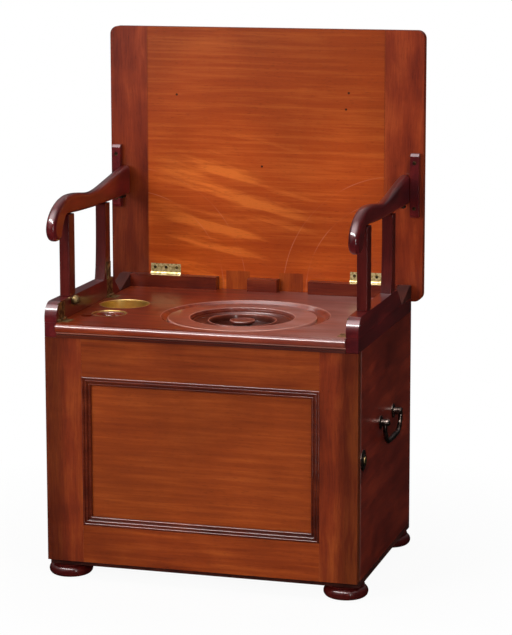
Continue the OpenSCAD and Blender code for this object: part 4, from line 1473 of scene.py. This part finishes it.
@dataclass
class Arm:
    """One folding arm: rail, posts, armrest and its brass."""

    shop: Workshop
    side: Side
    rest_edge_mm: float = 8.0
    rest_steps: int = 6
    post_edge_mm: float = 2.0
    post_steps: int = 3

    def build(self) -> None:
        """Dresses one arm; only the left one has a brass ball."""
        self.shop.soften(
            Finish.ARM, self.rest_edge_mm, self.side.of("armrest"), steps=self.rest_steps)
        self.shop.soften(
            Finish.POST, self.post_edge_mm, self.side.of("front_post"), self.side.of("rear_post"),
            steps=self.post_steps)
        self.shop.soften(
            Finish.ARM, self.post_edge_mm, self.side.of("arm_rail"), steps=self.post_steps)
        self.shop.dress(Finish.IRON, self.side.of("arm_catch"))
        self.shop.dress(Finish.DULL_BRASS, self.side.of("arm_leaves"))
        if self.side is Side.LEFT:
            self.shop.dress(Finish.DULL_BRASS, "left_arm_knob")


@dataclass
class Lid:
    """Clamped lid with its battens and hinges."""

    shop: Workshop
    clamp_edge_mm: float = 2.0
    clamp_steps: int = 3
    batten_edge_mm: float = 0.8
    hinge_screw: Screw = Screw(3.0, 0.8)
    hinge_in_mm: float = 29.5
    hinge_gap_mm: float = 21.2
    hinge_down_mm: float = 7.2
    hinge_turns: tuple[float, ...] = (10.0, 60.0, 100.0)
    hinge_side_turn: float = 30.0
    batten_screw: Screw = Screw(3.5, 0.9)
    batten_in_mm: float = 8.5
    batten_end_mm: float = 17.0
    batten_turns: tuple[float, ...] = (40.0, 95.0)
    batten_side_turn: float = 20.0

    def build(self) -> None:
        """Dresses the lid and sets its screws."""
        self.shop.dress(Finish.LID_BOARD, "lid_board")
        self.shop.dress(Finish.LID_PATCH, "lid_patches")
        self.shop.soften(
            Finish.LID_CLAMP, self.clamp_edge_mm, "lid_clamps", steps=self.clamp_steps)
        self.shop.soften(Finish.ARM, self.batten_edge_mm, "lid_battens")
        self.shop.dress(Finish.POLISHED_BRASS, "lid_leaves", "rear_lid_leaves", "lid_hinge_pins")
        self._screws()

    def _screws(self) -> None:
        """Replaces the lid's screws by slotted ones."""
        leaf_low, leaf_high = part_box("lid_leaves")
        low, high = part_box("lid_battens")
        front_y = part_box("lid_board")[0].y
        end = self.batten_end_mm * MM
        out = Vector((0, -1, 0))
        bench = Turnery()
        for side in Side:
            way = side.value
            middle = way * (abs(leaf_low.x) - self.hinge_in_mm * MM)
            for step, turn in zip((-1, 0, 1), self.hinge_turns):
                place = Vector((middle + step * self.hinge_gap_mm * MM, front_y,
                                leaf_high.z - self.hinge_down_mm * MM))
                bench.screw_head(
                    place, out, self.hinge_screw, turn + way * self.hinge_side_turn)
            for z, turn in zip((low.z + end, high.z - end), self.batten_turns):
                place = Vector((way * (high.x - self.batten_in_mm * MM), low.y, z))
                bench.screw_head(
                    place, out, self.batten_screw, turn + way * self.batten_side_turn)
        self.shop.stand_in("slotted_lid_screws", bench.finished(), Finish.AGED_BRASS, "lid_screws")


@dataclass
class Metalwork:
    """Carrying handles and the door's push catch."""

    shop: Workshop
    bail_r: float = 4.0
    bend_r: float = 28.8
    drop_share: float = 1.35
    neck_mm: float = 4.0
    neck_end_mm: float = 1.0
    neck_share: float = 0.96
    swell: float = 0.33
    swell_power: float = 0.8
    pivot_r: float = 3.0
    pivot_mm: float = 17.0

    def build(self) -> None:
        """Dresses the handles, the catch and the arm hinges' fixed leaves."""
        self.shop.dress(Finish.BRONZED_BRASS, "handle_posts", "catch_plate")
        for side in Side:
            self._bail(side.of("bail"))
        self.shop.dress(Finish.DULL_BRASS, "catch_button", "deck_leaves", "arm_hinge_pins")

    def _bail(self, node: str) -> None:
        """Forges one bail: round rod that thickens to the grip, with collars at its ends.

        Args:
            node: The bail's CAD node.
        """
        low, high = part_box(node)
        r = self.bail_r * MM
        x = (low.x + high.x) / 2
        y0, y1 = low.y + r, high.y - r
        top = high.z - r
        bend = self.bend_r * MM
        deep = low.z + self.drop_share * r
        left = [Vector((x, y0, top)), Vector((x, y0, top - self.neck_mm * MM))]
        left += [Vector((x, y, z)) for y, z in arc((y0 + bend, deep + bend), bend, -180, -90, 16)]
        middle = (y0 + y1) / 2
        right = [Vector((p.x, 2 * middle - p.y, p.z)) for p in reversed(left)]
        path = left + [Vector((x, middle, deep))] + right
        radii = []
        for place in path:
            inward = max(0.0, 1 - abs(place.y - middle) / (y1 - middle))
            neck = 1.0 if place.z < top - self.neck_end_mm * MM else self.neck_share
            radii.append(self.bail_r * (1 + self.swell * inward ** self.swell_power) * neck)
        bench = Turnery()
        bench.rod(path, radii)
        collar = [(0.0, -4.0), (2.6, -3.6), (3.8, -2.2), (4.0, 0.0), (4.0, 3.0),
                  (self.pivot_r, 4.0), (self.pivot_r, self.pivot_mm), (0.0, self.pivot_mm)]
        for y, way in ((y0, 1), (y1, -1)):
            bench.turn(collar, Vector((x, y, top)), Vector((0, way, 0)), segments=24)
        self.shop.stand_in("forged_" + node, bench.finished(), Finish.BRONZED_BRASS, node)


def main(frame: dict) -> None:
    """Builds the studio and every sub-assembly in order.

    Args:
        frame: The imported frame.
    """
    logging.basicConfig(level=logging.INFO, format="%(message)s")
    shop = Workshop(frame)
    Studio().build()
    Carcase(shop).build()
    Deck(shop).build()
    Door(shop).build()
    for side in Side:
        Arm(shop, side).build()
    Lid(shop).build()
    Metalwork(shop).build()


if __name__ == "__main__":
    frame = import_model()
    main(frame)
